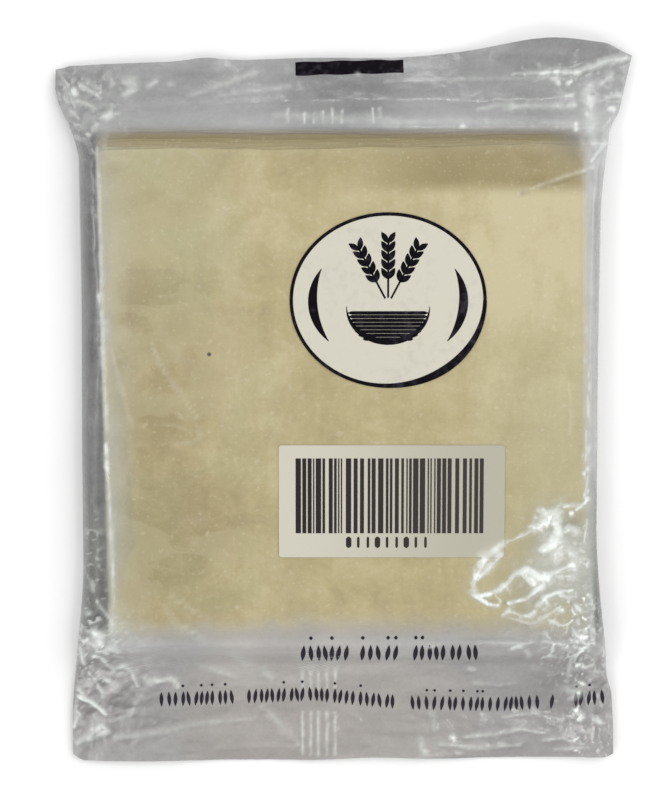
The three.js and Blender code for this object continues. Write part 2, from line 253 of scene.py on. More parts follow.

# %% [markdown]
# ## Folds laid one by one
# Film creases have a sharp crest that runs out to nothing, and the plastic turns whitish where it
# is bent hardest. Each fold below is a path of points (x, y, half width) in mm with a height and a
# whiteness. Most of the whiteness is painted highlight, the glare of crests and of the puddle where
# they would catch a lamp, on top of some real whitening; a negative whiteness is a painted shadow
# beside a crease. They give the pack its own face: the crest under the curled corner, the puddle of
# loose film at the lower right, the crushed corners, and the ribs and streaks of the end welds.

# %% Table of folds
#       height white  points (x, y, half width); white is painted highlight, below 0 painted shadow
FOLDS = {
    "top margin": [
        (0.5, 0.10, [(-79, 97.6, 0.9), (-50, 99, 1.4), (-20, 100.6, 1.0)]),
        (0.4, 0.22, [(-50, 101.5, 0.9), (-38, 105.5, 1.4), (-29, 109, 1.2)]),
        (0.3, 0.16, [(-42, 101, 0.8), (-30, 103, 1.2), (-18, 104.4, 0.8)]),
        (0.2, 0.16, [(14, 106, 0.5), (38, 106.6, 0.7), (69, 107.3, 0.6)]),
        (0.5, 0.42, [(44, 97, 0.6), (50, 98.4, 1.0), (53, 97.9, 1.3), (74, 98.1, 1.2)]),
        (0.4, 0.20, [(18, 92.6, 1.1), (44, 92.7, 1.5), (76, 92.2, 1.3)]),
        (0.3, 0.22, [(-22, 95, 1.2), (-2, 94, 2.0), (17, 92.6, 1.6)]),
        (0.3, 0.80, [(38.2, 91.3, 0.6), (38.8, 91.3, 0.7)]),
        (0.3, 1.00, [(75.4, 91.8, 0.7), (75.4, 90.4, 0.9)]),
        (0.2, 0.55, [(4.6, 108.4, 0.6), (5.2, 108.4, 0.6)]),
    ],
    "curl": [
        (0.7, 0.48, [(55, 108.3, 0.2), (65, 108.7, 0.8), (72, 109, 0.9), (76, 108.9, 1.1)]),
        (0.8, 0.50, [(76, 108.9, 1.1), (81, 110.6, 1.0), (86, 112.4, 1.1), (93.4, 113.7, 0.7)]),
        (0.5, 0.85, [(64, 108.4, 0.7), (66.4, 108.6, 0.9)]),
        (0.5, 0.85, [(68.6, 109, 0.6), (69.8, 109.2, 0.7)]),
        (0.5, 1.00, [(75.2, 108.8, 0.9), (76.6, 108.7, 1.0)]),
        (0.4, 0.75, [(67.6, 107.1, 0.5), (69.6, 106.6, 0.7), (70.2, 105.4, 0.8)]),
        (0.4, 0.75, [(73.2, 105.4, 0.7), (74.2, 106, 0.6)]),
        (0.4, 0.70, [(72.5, 101.2, 0.4), (74.6, 101.6, 0.8)]),
        (0.4, 0.60, [(73.2, 98.6, 0.6), (75, 98.4, 0.9)]),
        (0.5, 0.30, [(83, 104, 0.6), (87.4, 108.4, 0.8)]),
        (0.4, 0.34, [(86.4, 101, 0.6), (91, 101.3, 0.5)]),
        (0.4, 0.85, [(87.2, 97.4, 0.8), (87.8, 97.3, 0.8)]),
        (0.7, 0.36, [(79.4, 103, 1.6), (80.5, 95, 2.3), (80.6, 86, 1.5)]),
        (0.6, 0.65, [(84.2, 85.2, 0.7), (82.4, 82.6, 0.6), (79.8, 79.6, 0.5)]),
    ],
    "crease on the sheets": [
        (0.45, 0.36, [(80, 77.4, 0.7), (72, 75, 0.7), (64, 72.3, 0.5), (56, 69.2, 0.3)]),
        (0.00, -0.45, [(78, 75.6, 0.4), (70, 73, 0.5), (62, 70.5, 0.4), (54, 68.4, 0.3)]),
        (0.05, 0.10, [(18, 84.3, 0.25), (50, 85, 0.3), (79, 86.4, 0.3)]),
        (0.10, 0.30, [(73.2, 8, 0.3), (74, 1.5, 0.6), (74.3, -5, 0.7), (73.6, -9, 0.3)]),
        (0.10, 0.20, [(71.6, 14, 0.4), (72.4, 10.5, 0.5)]),
        (0.10, 0.30, [(-63, 22, 0.4), (-59.5, 14, 0.75), (-54.9, 7.1, 0.65), (-47.4, -3.3, 0.4)]),
        (0.00, -0.20, [(-64, 21, 0.3), (-60.6, 13, 0.6), (-56, 6, 0.4)]),
        (0.05, 0.11, [(-60, 26, 1.0), (-54, 18.5, 3.0), (-49.5, 13, 2.6)]),
        (0.10, 0.22, [(-47.6, -6, 0.5), (-46.6, -9.5, 0.9), (-49.5, -11.6, 0.5),
            (-56, -12.2, 0.3)]),
        (0.00, 0.07, [(-56, -12.2, 0.4), (-70, -12.4, 0.35)]),
        (0.05, 0.09, [(-52, -38, 2.2), (-45, -36, 1.8), (-42.5, -37.5, 0.9)]),
        (0.05, 0.09, [(-50.5, -43, 1.8), (-49, -46.5, 1.0)]),
        (0.10, 0.16, [(-50, 83, 0.4), (-45.5, 80.5, 0.7), (-44.2, 78.2, 0.4)]),
        (0.05, 0.14, [(-57.5, 69.5, 0.4), (-52, 67.5, 0.6)]),
        (0.05, 0.16, [(-62.7, 57, 0.4), (-62.9, 53.5, 0.5)]),
        (0.00, -0.34, [(-75.6, 78.4, 0.3), (-73.4, 76.9, 0.5), (-70.6, 77.2, 0.45),
            (-68.4, 78.6, 0.3)]),
        (0.10, 0.12, [(-75, 80.6, 1.0), (-70, 80, 1.2)]),
        (0.12, 0.20, [(-58, -61, 0.5), (-50, -67, 0.9), (-45, -70, 0.5)]),
        (0.12, 0.20, [(-53, -71.5, 0.5), (-48, -75.5, 0.8)]),
    ],
    "top left corner": [
        (0.8, 0.66, [(-88.2, 103.4, 0.9), (-87.6, 102.2, 0.9)]),
        (0.7, 0.49, [(-86.4, 105.8, 0.4), (-83.6, 103.6, 0.7), (-79.6, 101, 0.5)]),
        (0.6, 0.34, [(-85, 107, 0.4), (-81.6, 104.6, 0.6), (-80.4, 103.8, 0.4)]),
        (0.6, 0.45, [(-71, 105.6, 1.0), (-68.6, 105.4, 1.7), (-68, 103.6, 1.2),
            (-71.4, 101.8, 0.8)]),
        (0.5, 0.41, [(-63.6, 104.4, 0.7), (-61.2, 106, 1.0)]),
        (0.5, 0.41, [(-56.8, 105.4, 0.7), (-56, 105, 0.6)]),
        (0.9, 0.78, [(-77.6, 94.6, 1.0), (-76.4, 94.6, 1.4)]),
        (0.5, 0.49, [(-74, 95.2, 0.6), (-73, 95.6, 0.5)]),
        (0.7, 0.45, [(-84.6, 98.6, 0.8), (-81.4, 97.2, 1.2)]),
        (0.6, 0.41, [(-91, 100.6, 0.5), (-89.4, 99, 0.6)]),
        (0.6, 0.37, [(-88.6, 96, 0.7), (-86.6, 94.4, 0.6)]),
        (0.6, 0.61, [(-82.8, 88.7, 0.8), (-82.2, 88.3, 0.8)]),
        (0.5, 0.29, [(-83.6, 86.6, 0.9), (-82.6, 85.4, 0.7)]),
        (0.7, 0.25, [(-92.6, 109, 0.7), (-90, 104, 0.7), (-90.8, 100, 0.5)]),
    ],
    "puddle": [
        (1.0, 1.00, [(65.2, -34, 1.2), (67, -35.6, 2.2), (69, -34.6, 1.6), (69.6, -37.6, 1.4)]),
        (0.8, 0.90, [(66.6, -37.4, 1.3), (64.6, -38.4, 1.2), (62.4, -39.2, 1.0)]),
        (0.9, 1.00, [(69.8, -37.6, 1.0), (70.6, -40.6, 1.2), (69.6, -43.4, 1.5), (67.4, -46, 1.2),
            (64.6, -46.9, 0.7)]),
        (0.4, 0.42, [(68.6, -33, 0.7), (72.4, -32, 0.6), (78.6, -31.8, 0.6)]),
        (0.5, 0.40, [(69, -48, 1.2), (72, -44.4, 1.6), (74.6, -47.5, 0.9), (75.4, -51, 0.8)]),
        (0.8, 0.62, [(62.6, -39.2, 0.7), (60, -41.6, 0.5), (55.6, -43.4, 0.5), (52.4, -44.6, 0.6),
            (50.4, -46, 0.7)]),
        (0.9, 0.90, [(50, -46.4, 0.8), (46.8, -49.4, 1.2), (44.4, -53.4, 0.9), (43, -58, 0.8),
            (43.1, -61.4, 1.0)]),
        (0.8, 0.88, [(51.8, -48.6, 0.6), (48.6, -51.4, 1.2), (45.6, -54.6, 1.0), (44, -57, 0.6)]),
        (0.9, 0.98, [(43.3, -61.6, 1.1), (45.2, -63.2, 0.8), (47.6, -64.9, 0.5),
            (50.8, -65.3, 0.4)]),
        (0.9, 0.98, [(45, -62.3, 0.7), (48, -61.4, 0.7), (51.6, -60.3, 0.8), (54.2, -57.8, 0.8),
            (56.2, -55.2, 0.7)]),
        (0.6, 0.75, [(50.2, -62, 0.4), (51.6, -63.6, 0.5)]),
        (0.9, 1.00, [(56.2, -55.2, 0.7), (58.6, -54.2, 1.1), (60.6, -53.4, 1.0), (62.4, -54.6, 1.0),
            (64.4, -56, 1.3), (67, -56, 1.1), (68.6, -54.8, 0.6)]),
        (0.6, 0.75, [(68.6, -54.8, 0.5), (71.4, -53.6, 0.4), (74.2, -52.1, 0.5)]),
        (0.5, 0.95, [(74.2, -51.9, 0.5), (75, -51.7, 0.5)]),
        (0.6, 0.90, [(61.6, -56.6, 0.9), (62.6, -57.6, 0.8)]),
        (0.6, 0.80, [(65.4, -58.8, 0.7), (62.6, -61.2, 0.8), (60, -63.3, 0.5), (57.4, -63.8, 0.4),
            (54.4, -64.5, 0.5)]),
        (0.6, 0.85, [(75.4, -60.2, 0.4), (70.6, -60.8, 0.5), (66.6, -62.6, 0.7),
            (64.4, -64.9, 0.9)]),
        (0.5, 0.70, [(66.6, -63.8, 0.6), (67.4, -65.4, 0.7), (66.2, -66.6, 0.5)]),
        (0.5, 0.70, [(71.6, -61.6, 0.5), (73.8, -62.6, 0.8)]),
        (0.5, 0.70, [(54.6, -67, 0.8), (52.4, -68.6, 0.5)]),
        (0.5, 0.36, [(52.4, -69.2, 0.35), (57, -70, 0.35), (61.5, -71.4, 0.5), (64, -70.8, 0.5)]),
        (0.5, 0.66, [(56, -67.6, 0.35), (59, -69, 0.4), (61.2, -68.7, 0.5), (63, -67.4, 0.6)]),
        (0.4, 0.60, [(64.6, -69.8, 0.6), (68, -67.9, 0.4), (71.6, -65.6, 0.3)]),
        (0.4, 0.70, [(68, -70.4, 0.5), (68.8, -70.5, 0.5)]),
        (0.4, 0.85, [(71.6, -67, 0.6), (72.2, -66.8, 0.6)]),
        (0.4, 0.65, [(76.4, -65.2, 0.5), (78, -66.8, 0.6)]),
        (0.4, 0.90, [(72.6, -32.2, 0.6), (73.4, -32.1, 0.6)]),
        (0.4, 0.90, [(74.4, -34.7, 0.6), (75, -34.6, 0.6)]),
        (0.4, 0.75, [(76.4, -33.4, 0.5), (78.4, -31.8, 0.6)]),
        (0.4, 0.50, [(73.4, -39.6, 0.9), (76, -40, 0.9)]),
        (0.4, 0.60, [(70.2, -55.6, 0.35), (72, -55.5, 0.4)]),
        (0.4, 0.75, [(73.2, -55.6, 0.4), (74.8, -55.5, 0.5)]),
        (0.0, -0.55, [(53, -64.2, 0.6), (56, -66, 0.7), (60, -67, 0.5)]),
        (0.0, -0.45, [(63.6, -48.4, 0.4), (66.4, -48.7, 0.6)]),
        (0.0, -0.40, [(64.4, -53.4, 0.8), (68, -52.6, 0.9), (72, -51.2, 0.6)]),
        (0.0, -0.45, [(73, -38, 0.5), (76.4, -37.8, 0.6)]),
        (0.0, -0.35, [(47, -63.6, 0.5), (49, -63.8, 0.5)]),
        (0.0, -0.35, [(51.6, -70, 0.4), (57, -71.2, 0.5), (61, -72.6, 0.5)]),
    ],
    "bottom left corner": [
        (0.8, 0.81, [(-82, -74.6, 1.3), (-80.8, -76, 1.6), (-79.4, -78.8, 0.6)]),
        (0.6, 0.45, [(-85, -77.6, 0.9), (-82.6, -78.4, 0.7), (-81, -79.6, 0.6)]),
        (0.7, 0.77, [(-78.4, -80, 0.5), (-76.2, -79.8, 0.9), (-74.8, -81, 0.6)]),
        (0.7, 0.68, [(-87.2, -80, 0.6), (-86.4, -86.2, 0.8)]),
        (0.8, 0.77, [(-75.4, -88, 0.4), (-73.4, -87.2, 0.8), (-71, -88, 0.5), (-69, -94, 0.5)]),
        (0.6, 0.63, [(-79.6, -84.6, 0.4), (-76.4, -88.8, 0.6)]),
        (0.8, 0.59, [(-66.4, -91, 0.6), (-65.4, -92.8, 0.9), (-60.6, -92.4, 0.7), (-57, -92, 0.9),
            (-55, -94.8, 0.5)]),
        (0.7, 0.77, [(-88.6, -96, 0.7), (-87.4, -97.4, 0.8)]),
        (1.0, 0.85, [(-89, -98.2, 0.5), (-84.4, -100.6, 0.9), (-79.8, -104.8, 0.5)]),
        (1.0, 0.63, [(-89.4, -114.6, 0.9), (-85.6, -112.4, 1.0), (-81, -108.6, 1.0),
            (-79.4, -110.6, 1.3), (-82.4, -111.6, 1.0)]),
        (0.6, 0.72, [(-79.6, -91.6, 0.4), (-76.8, -93.2, 0.8)]),
        (0.7, 0.54, [(-90, -102, 0.7), (-89, -105, 0.8), (-90.6, -109, 0.6)]),
        (0.6, 0.16, [(-78, -107.4, 0.6), (-71, -104.6, 0.8), (-68, -98, 0.5)]),
        (0.6, 0.16, [(-76, -113, 0.8), (-62, -110.8, 1.1), (-46, -107.4, 0.8), (-30, -106.4, 0.5)]),
        (0.4, 0.23, [(-46.5, -86.8, 0.6), (-40, -89.4, 1.0), (-35.6, -91.6, 0.7)]),
        (0.4, 0.23, [(-37, -81, 0.5), (-31, -87, 0.8)]),
        (0.6, 0.20, [(-27, -102, 0.7), (-20.5, -108.6, 1.2), (-14.6, -115, 0.6)]),
        (0.3, 0.23, [(-27, -88, 1.0), (-24, -91.4, 0.8)]),
        (0.4, 0.36, [(-64.4, -106.6, 0.4), (-63.8, -107.6, 0.5)]),
        (0.4, 0.45, [(-82.6, -57.6, 0.6), (-82.4, -60.4, 0.6)]),
        (0.5, 0.68, [(-84.2, -68.4, 0.7), (-83.6, -68.2, 0.6)]),
        (0.5, 0.38, [(-81, -64.4, 0.3), (-78.4, -67.6, 0.6), (-75.6, -71.6, 0.5)]),
    ],
    "bottom margin": [
        (0.4, 0.22, [(45, -77.6, 0.5), (53, -78, 0.9), (60, -78.4, 0.8)]),
        (0.4, 0.60, [(56, -79.8, 0.7), (58.4, -79, 0.9)]),
        (0.4, 0.55, [(60.6, -80.8, 0.5), (61.8, -83, 0.8)]),
        (0.4, 0.55, [(28.8, -79.4, 0.5), (30, -78.8, 0.7)]),
        (0.4, 0.30, [(42, -88, 0.6), (44, -88.6, 0.5)]),
        (0.5, 0.40, [(66, -77.2, 0.6), (71, -78.2, 0.8), (76, -81.4, 0.7)]),
        (0.5, 0.34, [(76.6, -83, 0.5), (75.8, -88, 0.6), (75.4, -93, 0.5)]),
        (0.5, 0.65, [(76, -74, 0.7), (78.4, -76.4, 0.9), (80, -73.6, 0.6)]),
        (0.6, 0.36, [(76, -96, 1.6), (79, -97, 1.9), (77.6, -99, 1.3)]),
        (0.5, 0.60, [(78.6, -104, 0.7), (81, -105.6, 0.9)]),
        (0.5, 0.65, [(84.6, -105.8, 0.6), (86.8, -107.4, 0.8)]),
        (0.6, 0.40, [(41, -112.6, 0.5), (52, -111.4, 0.9), (60, -109.9, 0.7), (67.6, -111, 0.5)]),
        (0.5, 0.30, [(33, -115, 0.8), (48, -116.4, 0.7), (60, -115.4, 0.5)]),
        (0.5, 0.30, [(26, -113.4, 0.8), (27.4, -118, 0.9)]),
        (0.4, 0.95, [(36.8, -112.6, 0.7), (37.4, -112.9, 0.8)]),
        (0.5, 0.45, [(68, -113.6, 0.5), (74, -112.8, 0.7), (77, -113.8, 0.5)]),
        (0.5, 0.35, [(72, -116.8, 0.6), (82, -116, 0.7)]),
        (0.4, 0.25, [(30, -104, 0.5), (31.4, -110, 0.8)]),
        (0.4, 0.12, [(44, -93.2, 0.6), (52, -94.2, 0.6), (58, -93.4, 0.5)]),
        (0.4, 0.25, [(54, -105.6, 0.5), (64, -104.4, 0.7), (72, -106, 0.6)]),
    ],
    "left rim": [
        (0.25, 0.40, [(-79.3, 84, 0.4), (-78.6, 64.5, 0.7), (-78.4, 45, 0.6), (-78.2, 25.4, 0.8)]),
        (0.25, 0.50, [(-78.2, 25.4, 0.8), (-77.6, 5.8, 0.9), (-77.2, -7.2, 0.6)]),
        (0.25, 0.60, [(-79.3, 36.5, 0.5), (-79, 33, 0.5)]),
        (0.30, 0.95, [(-77.5, -12, 0.5), (-77.3, -17, 0.8), (-77, -24, 0.4)]),
        (0.25, 0.50, [(-76.8, -24, 0.6), (-75.9, -49.6, 0.6), (-75.2, -66, 0.5)]),
        (0.20, 0.20, [(-75.5, 20, 0.5), (-72.8, 8.4, 1.0), (-70.2, -1.5, 0.9), (-69, -5, 0.5)]),
    ],
    "side strip": [
        (0.3, 0.50, [(79.6, 4, 0.3), (80, -3, 0.5)]),
        (0.3, 0.55, [(79.2, -8, 0.3), (79.5, -14, 0.55), (79.1, -18, 0.3)]),
        (0.3, 0.50, [(80, -22, 0.3), (79.3, -29, 0.55), (79.6, -32, 0.3)]),
        (0.3, 0.55, [(79.9, -37, 0.5), (79.1, -44, 0.3)]),
    ],
    "fin ribs": [
        (0.25, 0.42, [(x, y, 0.4), (x, y - run, 0.45)])
        for x in (-13.5, -10.7, -8.2, -5.3, -2.5)
        for y, run in ((-80.5, 14.5), (-104, 14.6))
    ],
    "fin ribs at the top": [
        (0.25, 0.60, [(x, 96.8 + lift, 0.45), (x, 92.4, 0.35)])
        for x, lift in zip(
            (-18, -12.6, -9.6, -6.6, -3.6, -0.4, 9.6, 11.6),
            (0.2, -1, -1.2, -0.6, 0.2, -0.6, 0.4, 0.6),
        )
    ],
}

# %% [markdown]
# ### Reading the folds
# A fold's height falls off in a sharp crest and its whiteness in a soft bell: painted highlight
# where it is above 0, painted shadow where it is below. Where folds meet, the highest counts. A
# ragged and a patchy sheet of facets keep them from looking drawn.

# %% Reading the folds
CREST, CREST_SHARE, CREST_CURVE = 2.2, 0.45, 1.4
SPREAD = {"puddle": 1.30, "bottom left corner": 1.15, "top margin": 0.9}
HALO, HALO_WIDTH = {"puddle": 0.30}, 0.6
RAGGED, PATCH_LEVEL, PATCHY = 0.42, 0.82, 0.40


def nearness(x, y, path):
    """Distance of the points x, y from a path, in half widths of the path at its nearest place."""
    near = np.full_like(x, 1e9)
    for (ax, ay, aw), (bx, by, bw) in zip(path, path[1:]):
        length2 = (bx - ax) ** 2 + (by - ay) ** 2
        t = np.clip(((x - ax) * (bx - ax) + (y - ay) * (by - ay)) / length2, 0, 1)
        away = np.hypot(x - lerp(ax, bx, t), y - lerp(ay, by, t))
        near = np.minimum(near, away / lerp(aw, bw, t))
    return near


def folds_at(x, y, left_out=()):
    """Height in mm, whiteness (painted highlight) and painted shadow, 0 to 1, of all folds at x, y.
    """
    height, white, dark = np.zeros_like(x), np.zeros_like(x), np.zeros_like(x)
    ragged = 1 + RAGGED * facets(x, y, 1.5, seed=41)
    patchy = PATCH_LEVEL + PATCHY * facets(x, y, 2.2, seed=42)
    for name, top, pale, path in ((name, *fold) for name, group in FOLDS.items() for fold in group):
        if name in left_out:
            continue
        near = nearness(x, y, path) / SPREAD.get(name, 1.0) * ragged
        crest = np.clip(1 - near / CREST, 0, 1) ** CREST_CURVE
        height = np.maximum(height, CREST_SHARE * top * crest)
        halo = HALO.get(name, 0)
        trace = np.exp(-(near ** (3 if halo else 2)))
        trace = pale * patchy * lerp(trace, np.exp(-((HALO_WIDTH * near) ** 2)), halo)
        white, dark = np.maximum(white, trace), np.maximum(dark, -trace)
    return height, np.clip(white, 0, 1), np.clip(dark, 0, 1)

# %% [markdown]
# ## Front film
# The grid is finer in the margins, where the crinkles are, than over the stack. Each point starts
# on the base height and is then pushed out along the surface by the folds and facets, which have
# masks that say where the film is loose.

# %% Grid of the front film
RIBS_START, RIBS_END = 0.40, 0.56
LEFT_PULL, RIGHT_PULL = (0.45, 40, 40), (0.35, 15, 45)
TOP_TRIM, BOTTOM_TRIM = (1.1, 14, 20), (1.0, 11, 14)


def graded(*stretches):
    """Stations from 0 to 1 in stretches of (end, step)."""
    start, runs = 0, []
    for end, pace in stretches:
        runs.append(np.linspace(start, end, max(2, round((end - start) / pace)), endpoint=False))
        start = end
    return np.append(np.concatenate(runs), start)


across = graded(
    (0.035, 0.0016), (0.12, 0.0027), (RIBS_START, 0.0062), (RIBS_END, 0.0032),
    (0.70, 0.0062), (0.965, 0.0027), (1, 0.0016),
)
across_puddle = graded(
    (0.035, 0.0032), (0.12, 0.0047), (0.42, 0.0150), (0.50, 0.0048),
    (0.73, 0.0150), (0.965, 0.00135), (1, 0.0019),
)
steps, puddle_steps = np.linspace(0, 1, across.size), np.linspace(0, 1, across_puddle.size)
across_puddle = np.interp(steps, puddle_steps, across_puddle)
along = graded((0.18, 0.0024), (0.38, 0.0019), (0.80, 0.0062), (1, 0.0024))
print("front film:", across.size, "by", along.size, "points")


def film_plan(across, along, across_puddle=None):
    """Plan position of each grid point, its distance in from the side edge, all in mm."""
    a, b = np.meshgrid(across, along)
    if across_puddle is not None:
        a = lerp(a, across_puddle[None, :], rise(0.13, 0.19, b) * (1 - rise(0.38, 0.46, b)))
    level = lerp(-BOTTOM_EDGE, TOP_EDGE, b)
    left = left_edge(level) + hump(*LEFT_PULL, level)
    right = right_edge(level) - hump(*RIGHT_PULL, level)
    x = lerp(left, right, a)
    y = lerp(bottom_edge(x) + hump(*BOTTOM_TRIM, x), top_edge(x) - hump(*TOP_TRIM, x), b)
    return x, y, np.minimum(x - left, right - x), level

# %% [markdown]
# ### Where the film is loose
# The film lies tight on the sheets and hangs free beyond their edges, over both ends and in a few
# spots, where it is also crushed the most.

# %% Masks of the loose film
SHEET_WIDTH, SHEET_LENGTH = 159.8, 160.6
STACK_MIDDLE = (1.35, 3.2)
STACK_TURN = math.radians(0.95)
LOOSE_SPOTS = [(80, 91.5, 9.5, 0.9), (-82, 91, 5, 0.8)]  # x, y, radius, amount
CRUSHED_SPOTS = [
    (-84, 99, 15, 0.9), (-82, -90, 23, 0.9), (84, -90, 13, 0.75),
    (84, 97, 16, 0.6), (64, -52, 13, 0.25),
]


def spots(x, y, rows):
    """Sum of soft round spots, each a row of x, y, radius and amount."""
    return sum(a * np.exp(-((x - cx) ** 2 + (y - cy) ** 2) / r**2) for cx, cy, r, a in rows)


def beyond_sheets(x, y):
    """Distance in mm out past the side edge of the turned stack, negative on the sheets."""
    c, s = math.cos(STACK_TURN), math.sin(STACK_TURN)
    return np.abs(c * (x - STACK_MIDDLE[0]) + s * (y - STACK_MIDDLE[1])) - SHEET_WIDTH / 2


def looseness(x, y):
    """0 where the film lies tight on the sheets, 1 where it hangs free."""
    wander = facets(x, y, 6, seed=10)
    low_end = rise(66.5 + 2 * rise(10, 50, -x), 79.5, -y + 1.2 * wander)
    blur = np.where(x > 0, 4.8, 0.9)
    sides = rise(-blur, 0.4, beyond_sheets(x, y) + 0.25 * wander)
    return np.maximum.reduce([rise(87.4, 92.5, y), low_end, sides, spots(x, y, LOOSE_SPOTS)])

# %% Shape of the front film
def crinkle(x, y, inset):
    """Push of the film in mm, outwards, from all layers of facets."""
    crushed = spots(x, y, CRUSHED_SPOTS)
    ends = np.maximum(rise(90, 99, y), rise(78, 88, -y))
    sides = 1 - rise(3, 11, inset)
    calm = np.where(y > 0, 0.55, 1.0)
    # mask in mm, cell in mm, stretch, turn, seed
    layers = [
        (0.8 * crushed, 6.5, 1.0, 0.0, 3),
        (0.55 * crushed, 3.1, 1.0, 0.0, 4),
        (0.30 * crushed, 1.7, 1.0, 0.0, 14),
        (0.36 * ends * calm, 6.5, 5.5, 0.06, 5),
        (0.14 * ends * calm, 3.4, 4.0, -0.05, 15),
        (0.34 * sides, 5.0, 4.5, math.pi / 2, 6),
        (0.10, 17, 1.6, 0.5, 7),
        (0.03 + 0.09 * ends + 0.09 * sides, 2.6, 1.0, 0.0, 8),
    ]
    return sum(mask * facets(x, y, *layer) for mask, *layer in layers)


def normals_of(x, y, z):
    du = np.stack([np.gradient(c, axis=1) for c in (x, y, z)], -1)
    dv = np.stack([np.gradient(c, axis=0) for c in (x, y, z)], -1)
    n = np.cross(du, dv)
    return n / np.linalg.norm(n, axis=-1, keepdims=True)


def film_surface(x, y, inset, level, front, back, relief):
    """Rounds a face of the film into the side edge and pushes it out along its own normal."""
    edge = lerp(back, front[1], SIDE_EDGE_LEVEL)
    z = lerp(edge, front[0], side_rounding(inset, x, level))
    n = normals_of(x, y, z)
    taper = np.clip(inset / 1.5, 0, 1) * relief
    return x + n[..., 0] * taper, y + n[..., 1] * taper, z + n[..., 2] * taper


x, y, inset, level = film_plan(across, along, across_puddle)
over_stack = (1 - descent(y)) * (1 - rise(0, 2, beyond_sheets(x, y)))
fold_lift, crease_glints_and_whitening, painted_crease_shadow = folds_at(x, y)
relief = fold_lift + crinkle(x, y, inset)
front_relief = lerp(relief, np.maximum(relief, -0.05), over_stack)
front, back = base_front(x, y), base_back(x, y)
fx, fy, fz = film_surface(x, y, inset, level, (front, front), back, front_relief)
plain = film_surface(x, y, inset, level, (front, front), back, np.zeros_like(x))
print("front film reaches", fz.min().round(2), "to", fz.max().round(2), "mm")
print("relief", relief.min().round(2), "to", relief.max().round(2), "mm")

# %% [markdown]
# ### Grey of the film
# Free film looks grey: light goes through two sides and is lost between them. How pale that grey
# is depends on the place, and much of that is painted light and shade: palest beside the stack on
# the right, painted as if lit from that side, darkest along the left side, painted shade inside the
# curl, and painted light on the film over the sheets where the veil's shadow would darken them.
# Facets that lean to the light are painted paler, a painted shading of the crinkles.

# %% Grey of every point
LIGHT_FROM = np.array([-0.40, 0.85, 0.0])
GREY, DARKEST, PALEST = 0.36, 0.12, 0.85
GREY_SPOTS = [
    (0, 103, 18, -0.13), (-60, 95, 9, -0.05), (60, 94, 8, -0.05), (-34, -81, 12, 0.05),
    (-84, 101, 12, -0.04), (-7, 95, 6, 0.05), (33, 110, 8, -0.10), (32, 98, 12, 0.05),
    (-27, 112, 8, 0.05), (-28, 97, 12, 0.05), (8, -86, 28, 0.09), (-34, -88, 22, 0.07),
    (-34, -111, 14, 0.05), (-68, -81, 8, 0.13), (74, -100, 15, -0.06),
]
TOP_CORNER_SPOTS = [(84, 96, 11, 0.13), (-80, 98, 16, 0.02)]
# Spots where the painted shading of leaning facets is strongest.
FACET_LIGHT_SPOTS = [(-83, -95, 22, 1.0), (84, -95, 15, 0.6), (-84, 98, 14, 0.5)]
CURL_CREST = [40, 57, 76, 86, 94], [116.5, 108.5, 109, 112.6, 114]


def painted_side_light(x, y):
    """Painted light and shade beside the sheets: dark on the left, on the right pale from the
    puddle upwards as if lit from the right, and paler just inside the right sheet edge against the
    film's shadow.
    """
    beyond = beyond_sheets(x, y)
    low = 0.12 - 0.28 * rise(-0.5, 1.4, beyond) - 0.04 * rise(42, 58, -y)
    outer = (0.05 + 0.03 * bell(y, 25, 22)) * rise(0.6, 1.8, beyond)
    high = 0.20 - 0.07 * rise(-0.9, 0.3, beyond) - outer
    grey = np.where(x > 0, lerp(low, high, rise(-34, -14, y)), -0.18)
    grey = grey * rise(-1.5, 0.5, beyond + np.where(x > 0, 3, 0))
    grey += np.where(x > 0, 0.23 * bell(beyond, -2.7, 1.8), 0) * rise(-60, -20, y)
    return grey + 0.035 * facets(x, y, 1.5, 9, math.pi / 2, seed=35) * rise(0.2, 1, beyond)


def painted_curl_shade(x, y):
    """Painted shade inside the curl: darker, with fine streaks along it."""
    inside = rise(-0.5, 1.5, y - np.interp(x, *CURL_CREST)) * rise(38, 56, x)
    return inside * (0.035 * facets(x, y, 2.2, 9, -0.08, seed=32) - 0.085)


def ear_grey(x, y):
    """Slack film beside the sheets at the upper right, where the ear begins."""
    return 0.12 * rise(80, 84, x) * rise(60, 84, y) * (1 - rise(84, 92, y))


def painted_sheet_light(x, y):
    """Painted light on the sheets, against the veil's shadow: left rim, under the puddle, both
    ends.
    """
    low_end = lerp(0.46, 0.20, rise(0, 45, x)) * rise(63, 69, -y) * (1 - 0.4 * rise(72.5, 77, -y))
    rims = 0.30 * (1 - rise(-76, -66, x)) + spots(x, y, [(69, -50, 14, 0.38)])
    return rims + low_end + 0.22 * rise(86, 90, y)


def grey_of(x, y, loose, lean):
    top, bottom = rise(84, 92, y), rise(69, 79, -y)
    grey = GREY + 0.03 * top + 0.05 * bottom + spots(x, y, GREY_SPOTS)
    grey += painted_side_light(x, y) * (1 - top) * (1 - bottom) + ear_grey(x, y) + painted_curl_shade(x, y)
    before_weld = 1 - rise(97.5, 101, y + 1.5 * facets(x, y, 5, stretch=4, seed=31))
    grey += top * (spots(x, y, TOP_CORNER_SPOTS) + 0.05 * before_weld)
    # The first band, at y = 93, is painted light over the shadow beyond the lowest sheets.
    grey += 0.015 * bell(y, 93, 2.5) + 0.05 * bell(y, -81.2, 2.6)
    grey += (1 - loose) * painted_sheet_light(x, y)
    # Painted shading: facets leaning towards LIGHT_FROM are painted paler, those leaning away
    # darker.
    painted_facet_light = 0.22 + 0.45 * spots(x, y, FACET_LIGHT_SPOTS)
    grey += painted_facet_light * np.clip(lean, -0.22, 0.32) * loose
    return np.clip(grey, DARKEST, PALEST)

# %% Veil of every point
HAZY_SPOTS = [(69, -56, 10, 0.62), (71, -42, 8, 0.55), (-76, -72, 6, 0.12), (62, -67, 8, 0.22)]
SLACK_END = [-66, -52, -45, -30, -2, 6, 26], [-76.2, -71.4, -68.8, -69.6, -70.2, -71.8, -76]


